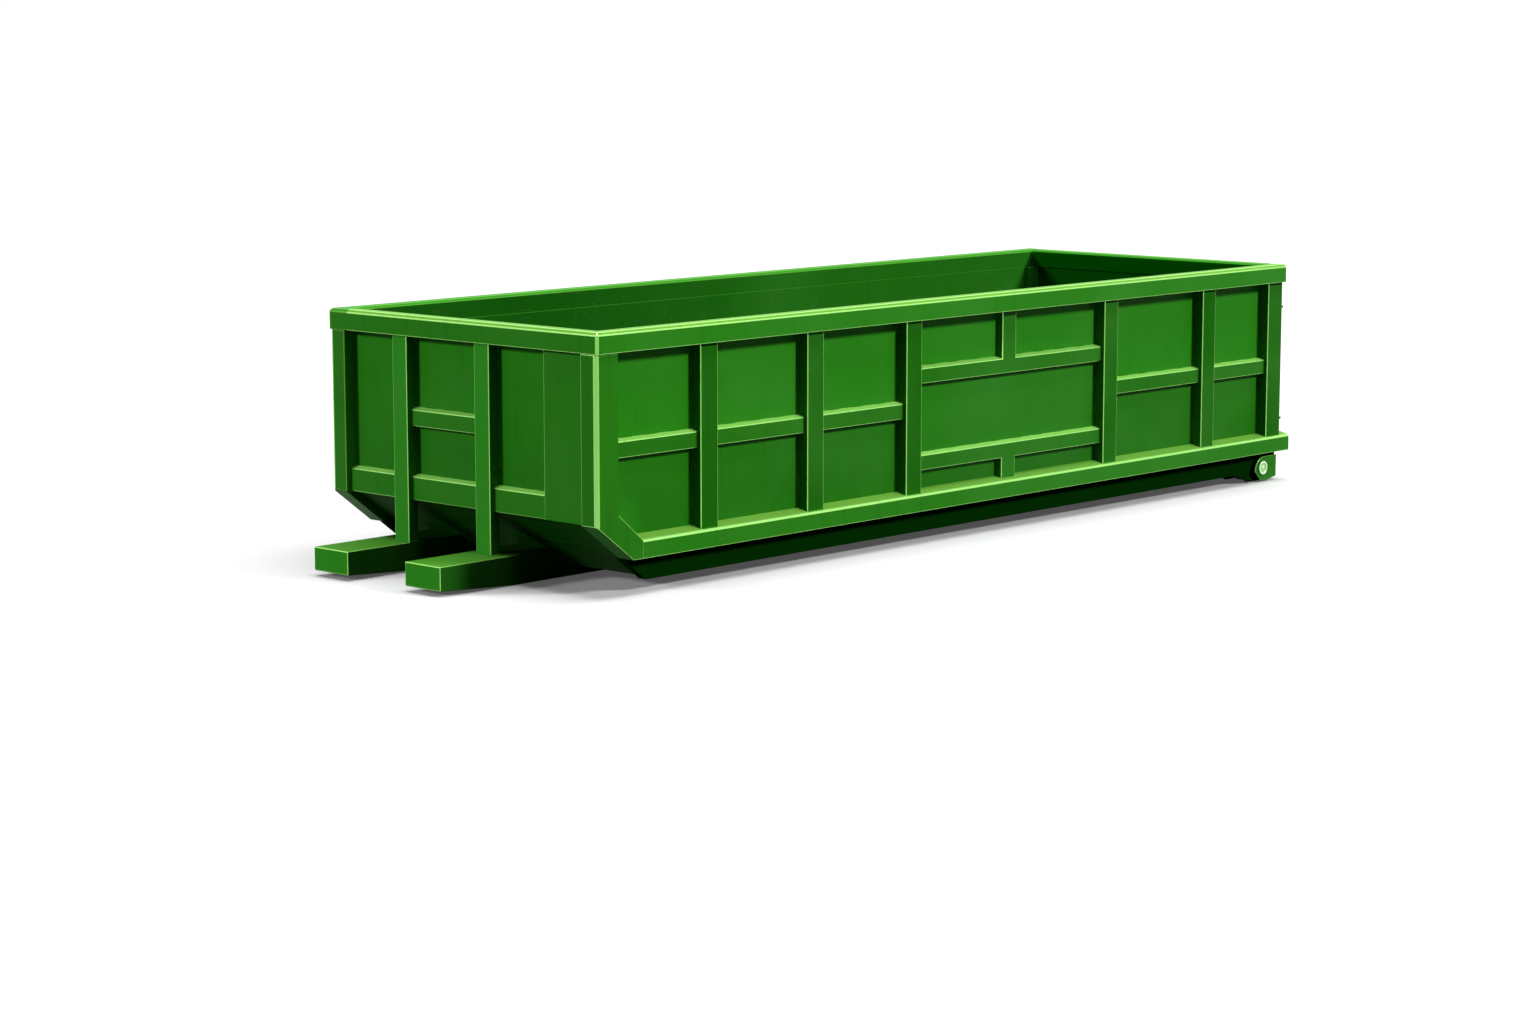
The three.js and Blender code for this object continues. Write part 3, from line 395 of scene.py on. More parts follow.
def make_materials():
    """Every finish, made once."""
    p = paint()
    return {
        "sheet": enamel("enamel_on_sheet", p.sheet, darker_below=0.44),
        "rail": enamel("enamel_on_rails", p.rail, darker_below=0.1),
        # The posts' darker enamel is painted shade.
        "post": enamel("enamel_shaded_on_folded_posts", p.post, darker_below=0.1, gloss=0.01),
        "bar": enamel("enamel_on_pressed_bars", p.bar, darker_below=0.1),
        "frame": enamel("enamel_on_corner_frames", p.frame, darker_below=0.1),
        "hook": enamel("enamel_on_hook_posts", p.hook, darker_below=0.1),
        # Painted highlights on faces turned up, plainer on the far side, with random chalky
        # patches.
        "ledge": enamel("enamel_highlit_on_rails", p.ledge, chalk=0.2, far_side=p.rail),
        "shelf": enamel("enamel_highlit_on_bars", p.shelf, chalk=0.1, far_side=p.rail),
        # Painted highlights: pale enamel on the roundings, with a metal sheen, plainer on the far
        # side.
        "edge": enamel(
            "enamel_highlit_on_folds", p.edge, roughness=0.3, chalk=0.1, gleam=0.5,
            far_side=p.ledge,
        ),
        # Painted highlight on the rounded front corners, with a metal sheen.
        "corner": enamel(
            "enamel_highlit_on_corners", p.corner, roughness=0.35, chalk=0.0, gleam=0.6,
        ),
        # Painted shade on the roundings that face the ground.
        "low_edge": enamel("enamel_shaded_under_edges", p.grime_and_shade, roughness=0.6, chalk=0.0),
        # Painted shade in the load space, with scuffs through to primer and rust.
        "inside": enamel(
            "enamel_shaded_and_scuffed_by_loads", p.inside, darker_below=0.5, scratches=0.4, roughness=0.55,
            gloss=0.02, chalk=0.15, front_shade=0.62,
        ),
        # Painted shade on the door's lining.
        "shade": enamel(
            "enamel_blackened_in_shade", p.shade, darker_below=0.5, scratches=0.12, roughness=0.6,
            gloss=0.0, chalk=0.0,
        ),
        # Painted shade under the tub.
        "under": enamel("enamel_in_shade_under_tub", p.flank, under_tub_shade=0.985, roughness=0.6, gloss=0.0),
        # Painted shade on the ground rails' sides.
        "flank": enamel("enamel_shaded_on_rail_flanks", p.flank, under_tub_shade=0.1, roughness=0.6, gloss=0.0),
        # Painted shade on the ground rails' tops, with scuffs.
        "deck": enamel(
            "enamel_shaded_on_rail_tops", p.deck, under_tub_shade=0.985, scratches=0.1, roughness=0.55, gloss=0.01,
        ),
        # Painted shade on the slope sheet, and behind the ground rails' noses.
        "slope": enamel("enamel_shaded_on_slope_sheet", p.rail, under_tub_shade=0.8, roughness=0.5, gloss=0.02),
        "nose": enamel(
            "enamel_on_rail_noses_shaded_behind", p.hook, under_tub_shade=0.985, scratches=0.1, roughness=0.5, gloss=0.02,
        ),
        # Painted highlight on the roundings of the ground rails' noses, under the painted shade
        # behind the noses.
        "nose_edge": enamel(
            "enamel_highlit_on_noses", p.edge, under_tub_shade=0.985, roughness=0.3, gloss=0.0, chalk=0.1,
            gleam=0.5,
        ),
        "steel": steel("greased_bar_steel", p.bare_steel, roughness=0.38, marks=2),
        "turned": steel("turned_axle_steel", p.turned_steel, roughness=0.3, marks=2, freckles=0.15),
        "wheel": steel("rolled_wheel_steel", p.wheel_steel, roughness=0.5, marks=4, metallic=0.6),
    }


FINISHES = {}


def finish(name):
    """A finish by its name."""
    if not FINISHES:
        FINISHES.update(make_materials())
    return FINISHES[name]


# Pieces.

# Places of the finishes on a dressed piece. EDGE, CORNER, the faces turned up and BROW mostly hold
# painted highlights; LOW_EDGE, LINING and the shadowed faces hold painted shade.
MAIN, EDGE, LOW_EDGE, LINING, CORNER, SHADOWED, LIT_TOP, BROW = range(8)

# Thickness up to which a face is the cut edge of a plate and stays square, by kind of piece.
FOLDED_WALL = 12 * MM
THICK_WALL = 8 * MM
PIN_WALL = 6 * MM
THIN_WALL = 4 * MM

# A mitre's face stands upright at 45 degrees: how far its normal may rise and turn from that.
MITRE_RISE = 0.1
MITRE_SLACK = 0.05

# Facets of the rounded front corners, and how far an edge may stray from the corner's place.
RIM_CORNER_FACETS = 4
RIM_CORNER_REACH = 2 * MM
FRAME_CORNER_FACETS = 5
FRAME_CORNER_REACH = 12 * MM

# The height from which an edge counts as an upright one.
UPRIGHT_RISE = 50 * MM

# A face looks into the load space if a point this far in front of it lies inside, give or take
# the slack and below the rim's lip.
LOAD_REACH = 2 * MM
LOAD_SLACK = 0.5 * MM
LIP_HEIGHT = 12 * MM

# Rear corner posts: the tubes' width, and the caps' thickness, drop and distance from the outside.
POST_WIDTH = 110 * MM
CAP_THICKNESS = 5 * MM
CAP_DROP = 1 * MM
CAP_INSET = 3 * MM

# Depth behind the wheel housings' faces from which the painted shade under the tub covers them.
EAR_SKIN = 3 * MM

# How far flat faces lead over narrow ones in the shading.
FLAT_FACE_WEIGHT = 100

BOXES = {node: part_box(node) for node in frame["nodes"]}
LOAD_LOW = (
    BOXES["front_sheet"][1][0], BOXES["near_side_sheet"][1][1], BOXES["floor_plate"][1][2],
)
LOAD_HIGH = (
    BOXES["door_skin"][0][0], BOXES["far_side_sheet"][0][1], BOXES["near_top_rail"][1][2],
)


def body_of(node):
    """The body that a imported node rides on."""
    bodies = frame["record"]["behaviour"]["bodies"]
    return next(body for body, names in bodies.items() if node in names)


def place_piece(name, bm, finishes, body):
    """Makes the finished object at the origin, smooth but for sharp edges, riding on its body."""
    bm.normal_update()
    used = sorted({face.material_index for face in bm.faces})
    for face in bm.faces:
        face.smooth = True
        face.material_index = used.index(face.material_index)
    for edge in bm.edges:
        if len(edge.link_faces) == 2 and edge.calc_face_angle(0) > SHARP_ANGLE:
            edge.smooth = False
    mesh = bpy.data.meshes.new(name)
    bm.to_mesh(mesh)
    bm.free()
    for index in used:
        mesh.materials.append(finish(finishes[index]))
    piece = bpy.data.objects.new(name, mesh)
    bpy.context.scene.collection.objects.link(piece)
    weighted = piece.modifiers.new("flat_faces_lead", "WEIGHTED_NORMAL")
    weighted.keep_sharp = True
    weighted.weight = FLAT_FACE_WEIGHT
    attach(piece, body)
    return piece


def faces_load(face):
    """Whether a face looks into the load space."""
    slope_low, slope_high = BOXES["slope_sheet"]
    point = face.calc_center_median() + face.normal * LOAD_REACH
    fall = (point.x - slope_low[0]) / (slope_high[0] - slope_low[0])
    slope = slope_high[2] + fall * (slope_low[2] - slope_high[2])
    inside = all(
        low - LOAD_SLACK < c < high + LOAD_SLACK for low, c, high in zip(LOAD_LOW, point, LOAD_HIGH)
    )
    return inside and slope < point.z < LOAD_HIGH[2] - LIP_HEIGHT


def merged_solid(nodes):
    """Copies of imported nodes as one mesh, with their loose triangles joined."""
    bm = bmesh.new()
    for node in nodes:
        bm.from_mesh(frame["nodes"][node].data)
    bmesh.ops.remove_doubles(bm, verts=bm.verts, dist=MERGE_DISTANCE)
    return bm


def level_faces(bm):
    """Joins triangles that lie level, then splits any face that turns inwards."""
    bmesh.ops.dissolve_limit(
        bm, angle_limit=LEVEL_ANGLE, verts=bm.verts, edges=bm.edges, use_dissolve_boundaries=False,
    )
    bmesh.ops.connect_verts_concave(bm, faces=bm.faces)


def round_edges(bm, chosen, offset, segments, index=EDGE):
    """Rounds the chosen edges. Roundings that face the ground take the dark low-edge finish,
    painted shade.
    """
    made = bmesh.ops.bevel(
        bm, geom=chosen, offset=offset, offset_type="OFFSET", segments=segments,
        profile=0.5, affect="EDGES", clamp_overlap=False, material=-1,
    )
    for face in made["faces"]:
        face.normal_update()
        face.material_index = LOW_EDGE if face.normal.z < FALLING else index


def folded(bm):
    """The edges that a press or a saw leaves standing out."""
    return [
        edge for edge in bm.edges
        if len(edge.link_faces) == 2 and edge.is_convex and edge.calc_face_angle(0) > FOLD_ANGLE
    ]


def outer_folds(bm, wall):
    """Outward edges whose two faces are both wider than a plate's wall."""
    chosen = []
    for edge in folded(bm):
        spans = []
        for face in edge.link_faces:
            direction = (edge.verts[1].co - edge.verts[0].co).normalized()
            across = face.normal.cross(direction)
            reach = [across.dot(v.co - edge.verts[0].co) for v in face.verts]
            spans.append(max(reach) - min(reach))
        if min(spans) > wall:
            chosen.append(edge)
    return chosen


def upright_near(bm, x, y, reach):
    """Upright edges within reach of a place."""
    return [
        edge for edge in bm.edges
        if abs(edge.verts[0].co.z - edge.verts[1].co.z) > UPRIGHT_RISE
        and all(math.hypot(v.co.x - x, v.co.y - y) < reach for v in edge.verts)
    ]


def dress(
    node, main="rail", width=None, wall=FOLDED_WALL, bm=None, also=(), under=None, edge="edge",
    lit_top="ledge", lining="inside", shadowing="under", brow="edge",
):
    """Stands a rounded, painted copy in the place of a node, and of also if given.

    main, edge, sunned, lining, film and brow name the finishes of its faces at large, of its
    roundings, of faces turned up, of those that face the load, of those for which under(face) is
    true, and of slanting ones. By default the roundings, the faces turned up and the slanting ones
    take painted highlights, and the faces that look into the load or for which under(face) is true
    take painted shade.
    """
    if bm is None:
        bm = merged_solid([node])
        level_faces(bm)
    width = sizes().fold_width if width is None else width
    round_edges(bm, outer_folds(bm, wall), width / 2, sizes().fold_segments)
    for face in bm.faces:
        if faces_load(face):
            face.material_index = LINING
        elif under and under(face):
            face.material_index = SHADOWED
        elif lit_top and face.material_index == MAIN and face.normal.z > RISING:
            face.material_index = LIT_TOP if face.normal.z > SQUARE else BROW
    finishes = (main, edge, "low_edge", lining, "corner", shadowing, lit_top, brow)
    piece = place_piece(f"{node}_dressed", bm, finishes, body_of(node))
    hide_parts(node, *also)


def both(*names):
    """The near side's nodes of these names, then the far side's."""
    return [f"{side}_{name}" for side in SIDES for name in names]


class DumpsterOperator(bpy.types.Operator):
    """One group of pieces, dressed alike."""

    bl_options = {"REGISTER", "UNDO"}
    nodes = ()
    main = "rail"
    # Faces turned up take the pale ledge enamel, a painted highlight.
    lit_top = "ledge"

    def execute(self, context):
        for node in self.nodes:
            dress(node, self.main, lit_top=self.lit_top)
        return {"FINISHED"}


class DUMPSTER_OT_rim(DumpsterOperator):
    """The rim: three tubes welded into one at their mitres, ground flush and rounded."""

    bl_idname = "dumpster.rim"
    bl_label = "Rim"

    def execute(self, context):
        nodes = ("near_top_rail", "front_top_rail", "far_top_rail")
        bm = merged_solid(nodes)
        bmesh.ops.remove_doubles(bm, verts=bm.verts, dist=SEAM_REACH)
        bm.normal_update()
        mitres = [
            face for face in bm.faces
            if abs(face.normal.z) < MITRE_RISE
            and abs(abs(face.normal.x) - abs(face.normal.y)) < MITRE_SLACK
        ]
        bmesh.ops.delete(bm, geom=mitres, context="FACES")
        level_faces(bm)
        x = BOXES["front_top_rail"][0][0]
        for sign in SIDES.values():
            y = sign * abs(BOXES["near_top_rail"][0][1])
            outer = upright_near(bm, x, y, RIM_CORNER_REACH)
            # The rim's rounded front corners take the pale corner enamel, a painted highlight.
            round_edges(bm, outer, sizes().rim_corner, RIM_CORNER_FACETS, CORNER)
        # The rim's tops and upward chamfers take the pale ledge enamel, a painted highlight.
        dress(nodes[0], "rail", bm=bm, also=nodes[1:], brow="ledge")
        return {"FINISHED"}


class DUMPSTER_OT_rails(DumpsterOperator):
    """Bottom rails and rear sill."""

    bl_idname = "dumpster.rails"
    bl_label = "Rails"
    nodes = both("bottom_rail") + ["rear_sill"]


class DUMPSTER_OT_posts(DumpsterOperator):
    """Side posts and rear corner posts."""

    bl_idname = "dumpster.posts"
    bl_label = "Posts"
    main = "post"
    nodes = both(*(f"side_post_{n}" for n in range(1, 6)), "rear_corner_post")


class DUMPSTER_OT_caps(DumpsterOperator):
    """Plates let into the rear corner posts, which close their tops beside the rim."""

    bl_idname = "dumpster.caps"
    bl_label = "Post caps"

    def execute(self, context):
        for side, sign in SIDES.items():
            node = f"{side}_rear_corner_post"
            low, high = BOXES[node]
            outer = max(abs(low[1]), abs(high[1]))
            size = (high[0] - low[0] - 2 * CAP_INSET, POST_WIDTH - 2 * CAP_INSET, CAP_THICKNESS)
            centre = (
                (low[0] + high[0]) / 2, sign * (outer - POST_WIDTH / 2),
                high[2] - CAP_DROP - CAP_THICKNESS / 2,
            )
            bm = bmesh.new()
            shape = Matrix.Translation(centre) @ Matrix.Diagonal((*size, 1))
            bmesh.ops.create_cube(bm, size=1, matrix=shape)
            # The caps take the darker load-space enamel, painted shade.
            place_piece(f"{node}_cap", bm, ("inside",), body_of(node))
        return {"FINISHED"}


class DUMPSTER_OT_corners(DumpsterOperator):
    """Front corner frames, with their upright corners rolled round."""

    bl_idname = "dumpster.corners"
    bl_label = "Front corners"

    def execute(self, context):
        for side, sign in SIDES.items():
            node = f"{side}_front_corner_frame"
            bm = merged_solid([node])
            level_faces(bm)
            low, high = BOXES[node]
            y = low[1] if sign < 0 else high[1]
            outer = upright_near(bm, low[0], y, FRAME_CORNER_REACH)
            # The frames' rounded upright corners take the pale corner enamel, a painted highlight.
            round_edges(bm, outer, sizes().frame_corner, FRAME_CORNER_FACETS, CORNER)
            dress(node, "frame", bm=bm)
        return {"FINISHED"}


class DUMPSTER_OT_stiffeners(DumpsterOperator):
    """Bars across the side sheets."""

    bl_idname = "dumpster.stiffeners"
    bl_label = "Stiffeners"
    main = "bar"
    # The bars' tops take the pale shelf enamel, a painted highlight.
    lit_top = "shelf"
    nodes = both("front_stiffener", "upper_stiffener", "lower_stiffener", "rear_stiffener")


class DUMPSTER_OT_tub(DumpsterOperator):
    """Sheets and floor of the tub."""

    bl_idname = "dumpster.tub"
    bl_label = "Tub"

    def execute(self, context):
        for node in ("near_side_sheet", "far_side_sheet", "front_sheet"):
            # The sheets' cut edges take the darker load-space enamel, painted shade.
            dress(node, "sheet", sizes().plate_width, 0.0, edge="inside", lit_top=None)
        # The slope sheet and the floor plate take painted shade on the faces away from the load.
        for node, main in (("slope_sheet", "slope"), ("floor_plate", "under")):
            dress(node, main, sizes().plate_width, 0.0, lit_top=None)
        return {"FINISHED"}


class DUMPSTER_OT_front(DumpsterOperator):
    """Front wall frame."""

    bl_idname = "dumpster.front"
    bl_label = "Front wall"

    def execute(self, context):
        for node in both("hook_post"):
            # The hook posts' faces that look along -Y take the darker post enamel, painted shade.
            dress(node, "hook", shadowing="post", under=lambda face: face.normal.y < -SQUARE)
        # The front wall's bars and rails take the pale shelf enamel on their tops, a painted
        # highlight.
        for node in ("front_middle_stiffener", "front_bottom_rail", "front_cover_plate"):
            dress(node, "rail", lit_top="shelf")
        return {"FINISHED"}


class DUMPSTER_OT_underside(DumpsterOperator):
    """Ground rails, underframe and wheel housings."""

    bl_idname = "dumpster.underside"
    bl_label = "Underside"

    def execute(self, context):
        # The ground rails' sides take the darker flank enamel and their tops the duller deck
        # enamel, painted shade; behind the noses all take the painted shade under the tub.
        for node in both("ground_rail"):
            dress(
                node, "nose", edge="nose_edge", lit_top="deck", shadowing="flank",
                under=lambda face: abs(face.normal.y) > SQUARE,
            )
        # The underframe takes the painted shade under the tub.
        dress("underframe", "under", sizes().plate_width, THIN_WALL, edge="under", lit_top=None)
        # Behind their ears the wheel housings take the painted shade under the tub.
        for node in both("wheel_housing"):
            low, high = BOXES[node]
            skin = max(abs(low[1]), abs(high[1])) - EAR_SKIN
            dress(
                node, "rail", sizes().thick_width, THICK_WALL,
                under=lambda face: abs(face.calc_center_median().y) < skin,
            )
        return {"FINISHED"}


# Turned parts.

# Outlines of an axle end, as radius and distance outwards in millimetres: the shank's radius and
# the chamfer at its tail, the head, the ring turned into its face and the boss in the middle.
SHANK_RADIUS = 25
SHANK_CHAMFER = 3
PIN_HEAD = (
    (46, -18), (48, -16), (48, -11), (46.5, -8.8), (45, -8), (37.5, -8), (36, -9), (36, -12),
)
PIN_RING = ((36, -12), (20, -11.2), (15, -11.4), (14, -12))
PIN_BOSS = (
    (14, -12), (13, -8), (11, -6.5), (7, -6), (6, -4), (4, -3.4), (3.4, -1.5), (2.5, 0), (0, 0),
)


def turned(bm, outline, centre, outwards, index=MAIN):
    """Spins an outline of radius and distance outwards from the centre, in millimetres, about Y."""
    points = [
        bm.verts.new((centre[0] + radius * MM, centre[1] + outwards * depth * MM, centre[2]))
        for radius, depth in outline
    ]
    edges = [bm.edges.new(pair) for pair in zip(points, points[1:])]
    before = len(bm.faces)
    bmesh.ops.spin(
        bm, geom=points + edges, cent=centre, axis=(0, 1, 0), dvec=(0, 0, 0), angle=2 * math.pi,
        steps=sizes().turn_steps, use_merge=True, use_duplicate=False,
    )
    bmesh.ops.remove_doubles(bm, verts=bm.verts, dist=MERGE_DISTANCE)
    bm.faces.ensure_lookup_table()
    for face in bm.faces[before:]:
        face.material_index = index


class DUMPSTER_OT_wheels(DumpsterOperator):
    """Steel rollers and the axle pins they turn on."""

    bl_idname = "dumpster.wheels"
    bl_label = "Wheels"

    def execute(self, context):
        for node in both("wheel"):
            dress(node, "wheel", sizes().thick_width, THIN_WALL, edge="steel")
        for side, sign in SIDES.items():
            node = f"{side}_axle_pin"
            low, high = BOXES[node]
            head = low[1] if sign < 0 else high[1]
            tail = high[1] if sign < 0 else low[1]
            length = abs(head - tail) / MM
            centre = ((low[0] + high[0]) / 2, head, (low[2] + high[2]) / 2)
            shank = (
                (0, -length), (SHANK_RADIUS - SHANK_CHAMFER, -length),
                (SHANK_RADIUS, SHANK_CHAMFER - length), (SHANK_RADIUS, PIN_HEAD[0][1]),
            )
            bm = bmesh.new()
            turned(bm, shank + PIN_HEAD, centre, sign)
            # The ring's face takes the pale edge enamel, a painted highlight.
            turned(bm, PIN_RING, centre, sign, EDGE)
            turned(bm, PIN_BOSS, centre, sign)
            bmesh.ops.recalc_face_normals(bm, faces=bm.faces)
            piece = place_piece(
                f"{node}_turned", bm, ("turned", "edge"), body_of(node),
            )
            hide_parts(node)
        return {"FINISHED"}


class DUMPSTER_OT_door(DumpsterOperator):
    """Rear door leaf and its hinges."""

    bl_idname = "dumpster.door"
    bl_label = "Rear door"

    def execute(self, context):
        # The door's faces towards the load take the near-black lining enamel, painted shade.
        dress("door_frame", "bar", lit_top="shelf", lining="shade")
        # The door's top rail takes the pale ledge enamel on its roundings, a painted highlight.
        dress("door_top_rail", "rail", edge="ledge", lit_top="rail", lining="shade", brow="rail")
        dress("door_skin", "sheet", sizes().plate_width, 0.0, lining="shade")
        for hinge in ("door_hinge_strap", "hinge_bracket"):
            for place in (1, 2):
                dress(f"{hinge}_{place}", "rail", sizes().thick_width, THICK_WALL)
        dress("hinge_pin", "steel", sizes().plate_width, PIN_WALL, edge="steel")
        return {"FINISHED"}


class DUMPSTER_OT_lock(DumpsterOperator):
    """Lock bar, its bearings and lever."""

    bl_idname = "dumpster.lock"
    bl_label = "Door lock"

    def execute(self, context):
        for node in ("lock_bar", "lock_lever", "lock_bearing_1", "lock_bearing_2"):
            dress(node, "post", sizes().thick_width, THICK_WALL)
        return {"FINISHED"}


# Welds.

# A bead's sides, its fewest ripples, and its thickness at its ends and between its ripples.
BEAD_SIDES = 8
FEWEST_CUTS = 3
END_THICKNESS = 0.45
HOLLOW_THICKNESS = 0.8

# How far beads stop short of corners: on a post's end, a bar's end, a hook post's foot and the
# front bottom rail's ledge.
POST_END = 8 * MM
BAR_END = 10 * MM
FOOT_END = 6 * MM
LEDGE_END = 20 * MM
FOOT_LIFT = 1 * MM

# Height of a side bar without its stubs, how far it may end from a post, and the thickness of the
# wheel housings' ears.
BAR_HEIGHT = 109 * MM
POST_REACH = 10 * MM
EAR_THICKNESS = 38 * MM


def bead(bm, start, end, radius):
    """One weld bead: a rod with a ripple for each step of the torch, tapered at both ends."""
    start, end = Vector(start), Vector(end)
    line = end - start
    rod = bmesh.new()
    bmesh.ops.create_cone(
        rod, cap_ends=True, cap_tris=False, segments=BEAD_SIDES, radius1=radius, radius2=radius,
        depth=line.length,
    )
    long_edges = [
        edge for edge in rod.edges
        if abs(edge.verts[0].co.z - edge.verts[1].co.z) > line.length / 2
    ]
    cuts = max(FEWEST_CUTS, round(2 * line.length / sizes().bead_pitch))
    bmesh.ops.subdivide_edges(rod, edges=long_edges, cuts=cuts, use_grid_fill=True)
    for vert in rod.verts:
        ring = round((vert.co.z / line.length + 0.5) * (cuts + 1))
        size = END_THICKNESS if ring in (0, cuts + 1) else 1.0 if ring % 2 else HOLLOW_THICKNESS
        vert.co.x *= size
        vert.co.y *= size
    turn = line.to_track_quat("Z", "X").to_matrix().to_4x4()
    bmesh.ops.transform(
        rod, matrix=Matrix.Translation((start + end) / 2) @ turn, verts=rod.verts,
    )
    mesh = bpy.data.meshes.new("bead")
    rod.to_mesh(mesh)
    rod.free()
    bm.from_mesh(mesh)
    bpy.data.meshes.remove(mesh)


def stitches(start, end):
    """A row of short welds between two points, as pairs of ends."""
    start, end = Vector(start), Vector(end)
    length = (end - start).length
    step = sizes().stitch + sizes().stitch_gap
    count = max(1, int((length + sizes().stitch_gap) / step))
    along = (end - start).normalized()
    gap = (length - count * sizes().stitch) / (count + 1)
    rows = []
    for i in range(count):
        low = gap * (i + 1) + sizes().stitch * i
        rows.append((start + along * low, start + along * (low + sizes().stitch)))
    return rows


def weld_piece(name, lines, node, main="bar"):
    """All the beads of one group as one piece that rides with the node they hold."""
    bm = bmesh.new()
    for start, end in lines:
        bead(bm, start, end, sizes().bead_radius)
    place_piece(name, bm, (main,), body_of(node))


def post_lines(posts, plane, foot, top, sign):
    """Welds of the side posts: down both edges, and across their tops and feet."""
    lines = []
    for low, high in posts:
        face = low[1] if sign < 0 else high[1]
        left, right = low[0] + POST_END, high[0] - POST_END
        for x in (low[0], high[0]):
            lines += stitches((x, plane, foot), (x, plane, top))
        for z in (top, low[2] + FOOT_LIFT):
            lines.append(((left, face, z), (right, face, z)))
    return lines


def side_lines(side, sign):
    """Welds of one long side, posts and bars to the sheet and to the rails."""
    sheet = BOXES[f"{side}_side_sheet"]
    plane = sheet[0][1] if sign < 0 else sheet[1][1]
    posts = [BOXES[f"{side}_side_post_{n}"] for n in range(1, 6)]
    top = posts[0][1][2]
    foot = BOXES[f"{side}_bottom_rail"][1][2]
    lines = [((sheet[0][0], plane, top), (sheet[1][0], plane, top))]
    lines += post_lines(posts, plane, foot, top, sign)
    walls = sorted(
        [(low[0], high[0]) for low, high in posts]
        + [(sheet[0][0], BOXES[f"{side}_front_stiffener"][0][0])]
        + [(BOXES[f"{side}_rear_corner_post"][0][0], sheet[1][0])]
    )
    for name in ("front_stiffener", "upper_stiffener", "lower_stiffener", "rear_stiffener"):
        low, high = BOXES[f"{side}_{name}"]
        face = low[1] if sign < 0 else high[1]
        level = high[2] - BAR_HEIGHT if name == "lower_stiffener" else low[2]
        for (_, x0), (x1, _) in zip(walls, walls[1:]):
            if x0 < low[0] - POST_REACH or x1 > high[0] + POST_REACH:
                continue
            for z in (level, level + BAR_HEIGHT):
                lines += stitches((x0, plane, z), (x1, plane, z))
            for x in (x0, x1):
                lines.append(((x, face, level + BAR_END), (x, face, level + BAR_HEIGHT - BAR_END)))
    return lines


def front_lines():
    """Welds of the front wall: posts to the wall, to the rails and to the ground rails."""
    lines = []
    wall = BOXES["front_sheet"][0][0]
    rail_low, rail_high = BOXES["front_bottom_rail"]
    for node in both("hook_post"):
        low, high = BOXES[node]
        for y in (low[1], high[1]):
            lines += stitches((wall, y, rail_high[2]), (wall, y, high[2]))
            lines.append(
                ((rail_low[0], y, rail_low[2]), (rail_low[0], y, rail_high[2] - LEDGE_END)),
            )
            lines.append(((low[0] + FOOT_END, y, low[2]), (high[0], y, low[2])))
        for z, end in ((low[2], FOOT_END), (high[2], POST_END)):
            lines.append(((low[0], low[1] + end, z), (low[0], high[1] - end, z)))
    low, high = BOXES["front_middle_stiffener"]
    for z in (low[2], high[2]):
        lines += stitches((wall, low[1], z), (wall, high[1], z))
    for y in (low[1], high[1]):
        lines.append(((low[0], y, low[2] + BAR_END), (low[0], y, high[2] - BAR_END)))
    return lines


def load_lines():
    """Welds in the load space: floor to sheets, and the sheets to each other."""
    lines = []
    floor = BOXES["floor_plate"]
    front = BOXES["front_sheet"]
    slope = BOXES["slope_sheet"]
    share = (slope[1][2] - floor[1][2]) / (slope[1][2] - slope[0][2])
    foot = slope[0][0] + share * (slope[1][0] - slope[0][0])
    for side, sign in SIDES.items():
        sheet = BOXES[f"{side}_side_sheet"]
        plane = sheet[1][1] if sign < 0 else sheet[0][1]
        lines.append(((foot, plane, floor[1][2]), (floor[1][0], plane, floor[1][2])))
        lines.append(((front[1][0], plane, slope[1][2]), (foot, plane, floor[1][2])))
        lines.append(((front[1][0], plane, slope[1][2]), (front[1][0], plane, front[1][2])))
    near, far = BOXES["near_side_sheet"][1][1], BOXES["far_side_sheet"][0][1]
    for x, z in ((foot, floor[1][2]), (front[1][0], slope[1][2])):
        lines.append(((x, near, z), (x, far, z)))
    return lines


def rear_lines():
    """Welds of the hinge brackets and lock bearings to the rear posts."""
    lines = []
    for node in ("hinge_bracket_1", "hinge_bracket_2", "lock_bearing_1", "lock_bearing_2"):
        low, high = BOXES[node]
        y1 = min(high[1], BOXES["far_rear_corner_post"][1][1])
        for z in (low[2], high[2]):
            lines.append(((low[0], low[1], z), (low[0], y1, z)))
    return lines


def strap_lines():
    """Welds of the hinge straps to the door's frame."""
    lines = []
    edge = BOXES["door_frame"][1][1]
    for node in ("door_hinge_strap_1", "door_hinge_strap_2"):
        low, high = BOXES[node]
        for z in (low[2], high[2]):
            lines += stitches((low[0], low[1], z), (low[0], edge, z))
        lines.append(((low[0], low[1], low[2]), (low[0], low[1], high[2])))
    return lines


def housing_lines():
    """Welds of the wheel housings up to the bottom rails, behind their ears."""
    lines = []
    for side, sign in SIDES.items():
        low, high = BOXES[f"{side}_wheel_housing"]
        face = low[1] if sign < 0 else high[1]
        plate = face - sign * EAR_THICKNESS
        lines.append(((low[0], plate, high[2]), (high[0], plate, high[2])))
    return lines


class DUMPSTER_OT_welds(DumpsterOperator):
    """Weld beads where one piece of steel meets another."""

    bl_idname = "dumpster.welds"
    bl_label = "Welds"

    def execute(self, context):
        for side, sign in SIDES.items():
            weld_piece(f"{side}_side_welds", side_lines(side, sign), f"{side}_side_sheet")
        weld_piece("front_wall_welds", front_lines(), "front_sheet")
        # The load space's welds take its painted shade.
        weld_piece("load_space_welds", load_lines(), "floor_plate", "inside")
        weld_piece("rear_post_welds", rear_lines(), "near_rear_corner_post")
        weld_piece("door_strap_welds", strap_lines(), "door_frame")
        # The wheel housings' welds take the painted shade under the tub.
        weld_piece("wheel_housing_welds", housing_lines(), "underframe", "under")
        return {"FINISHED"}


# Studio.

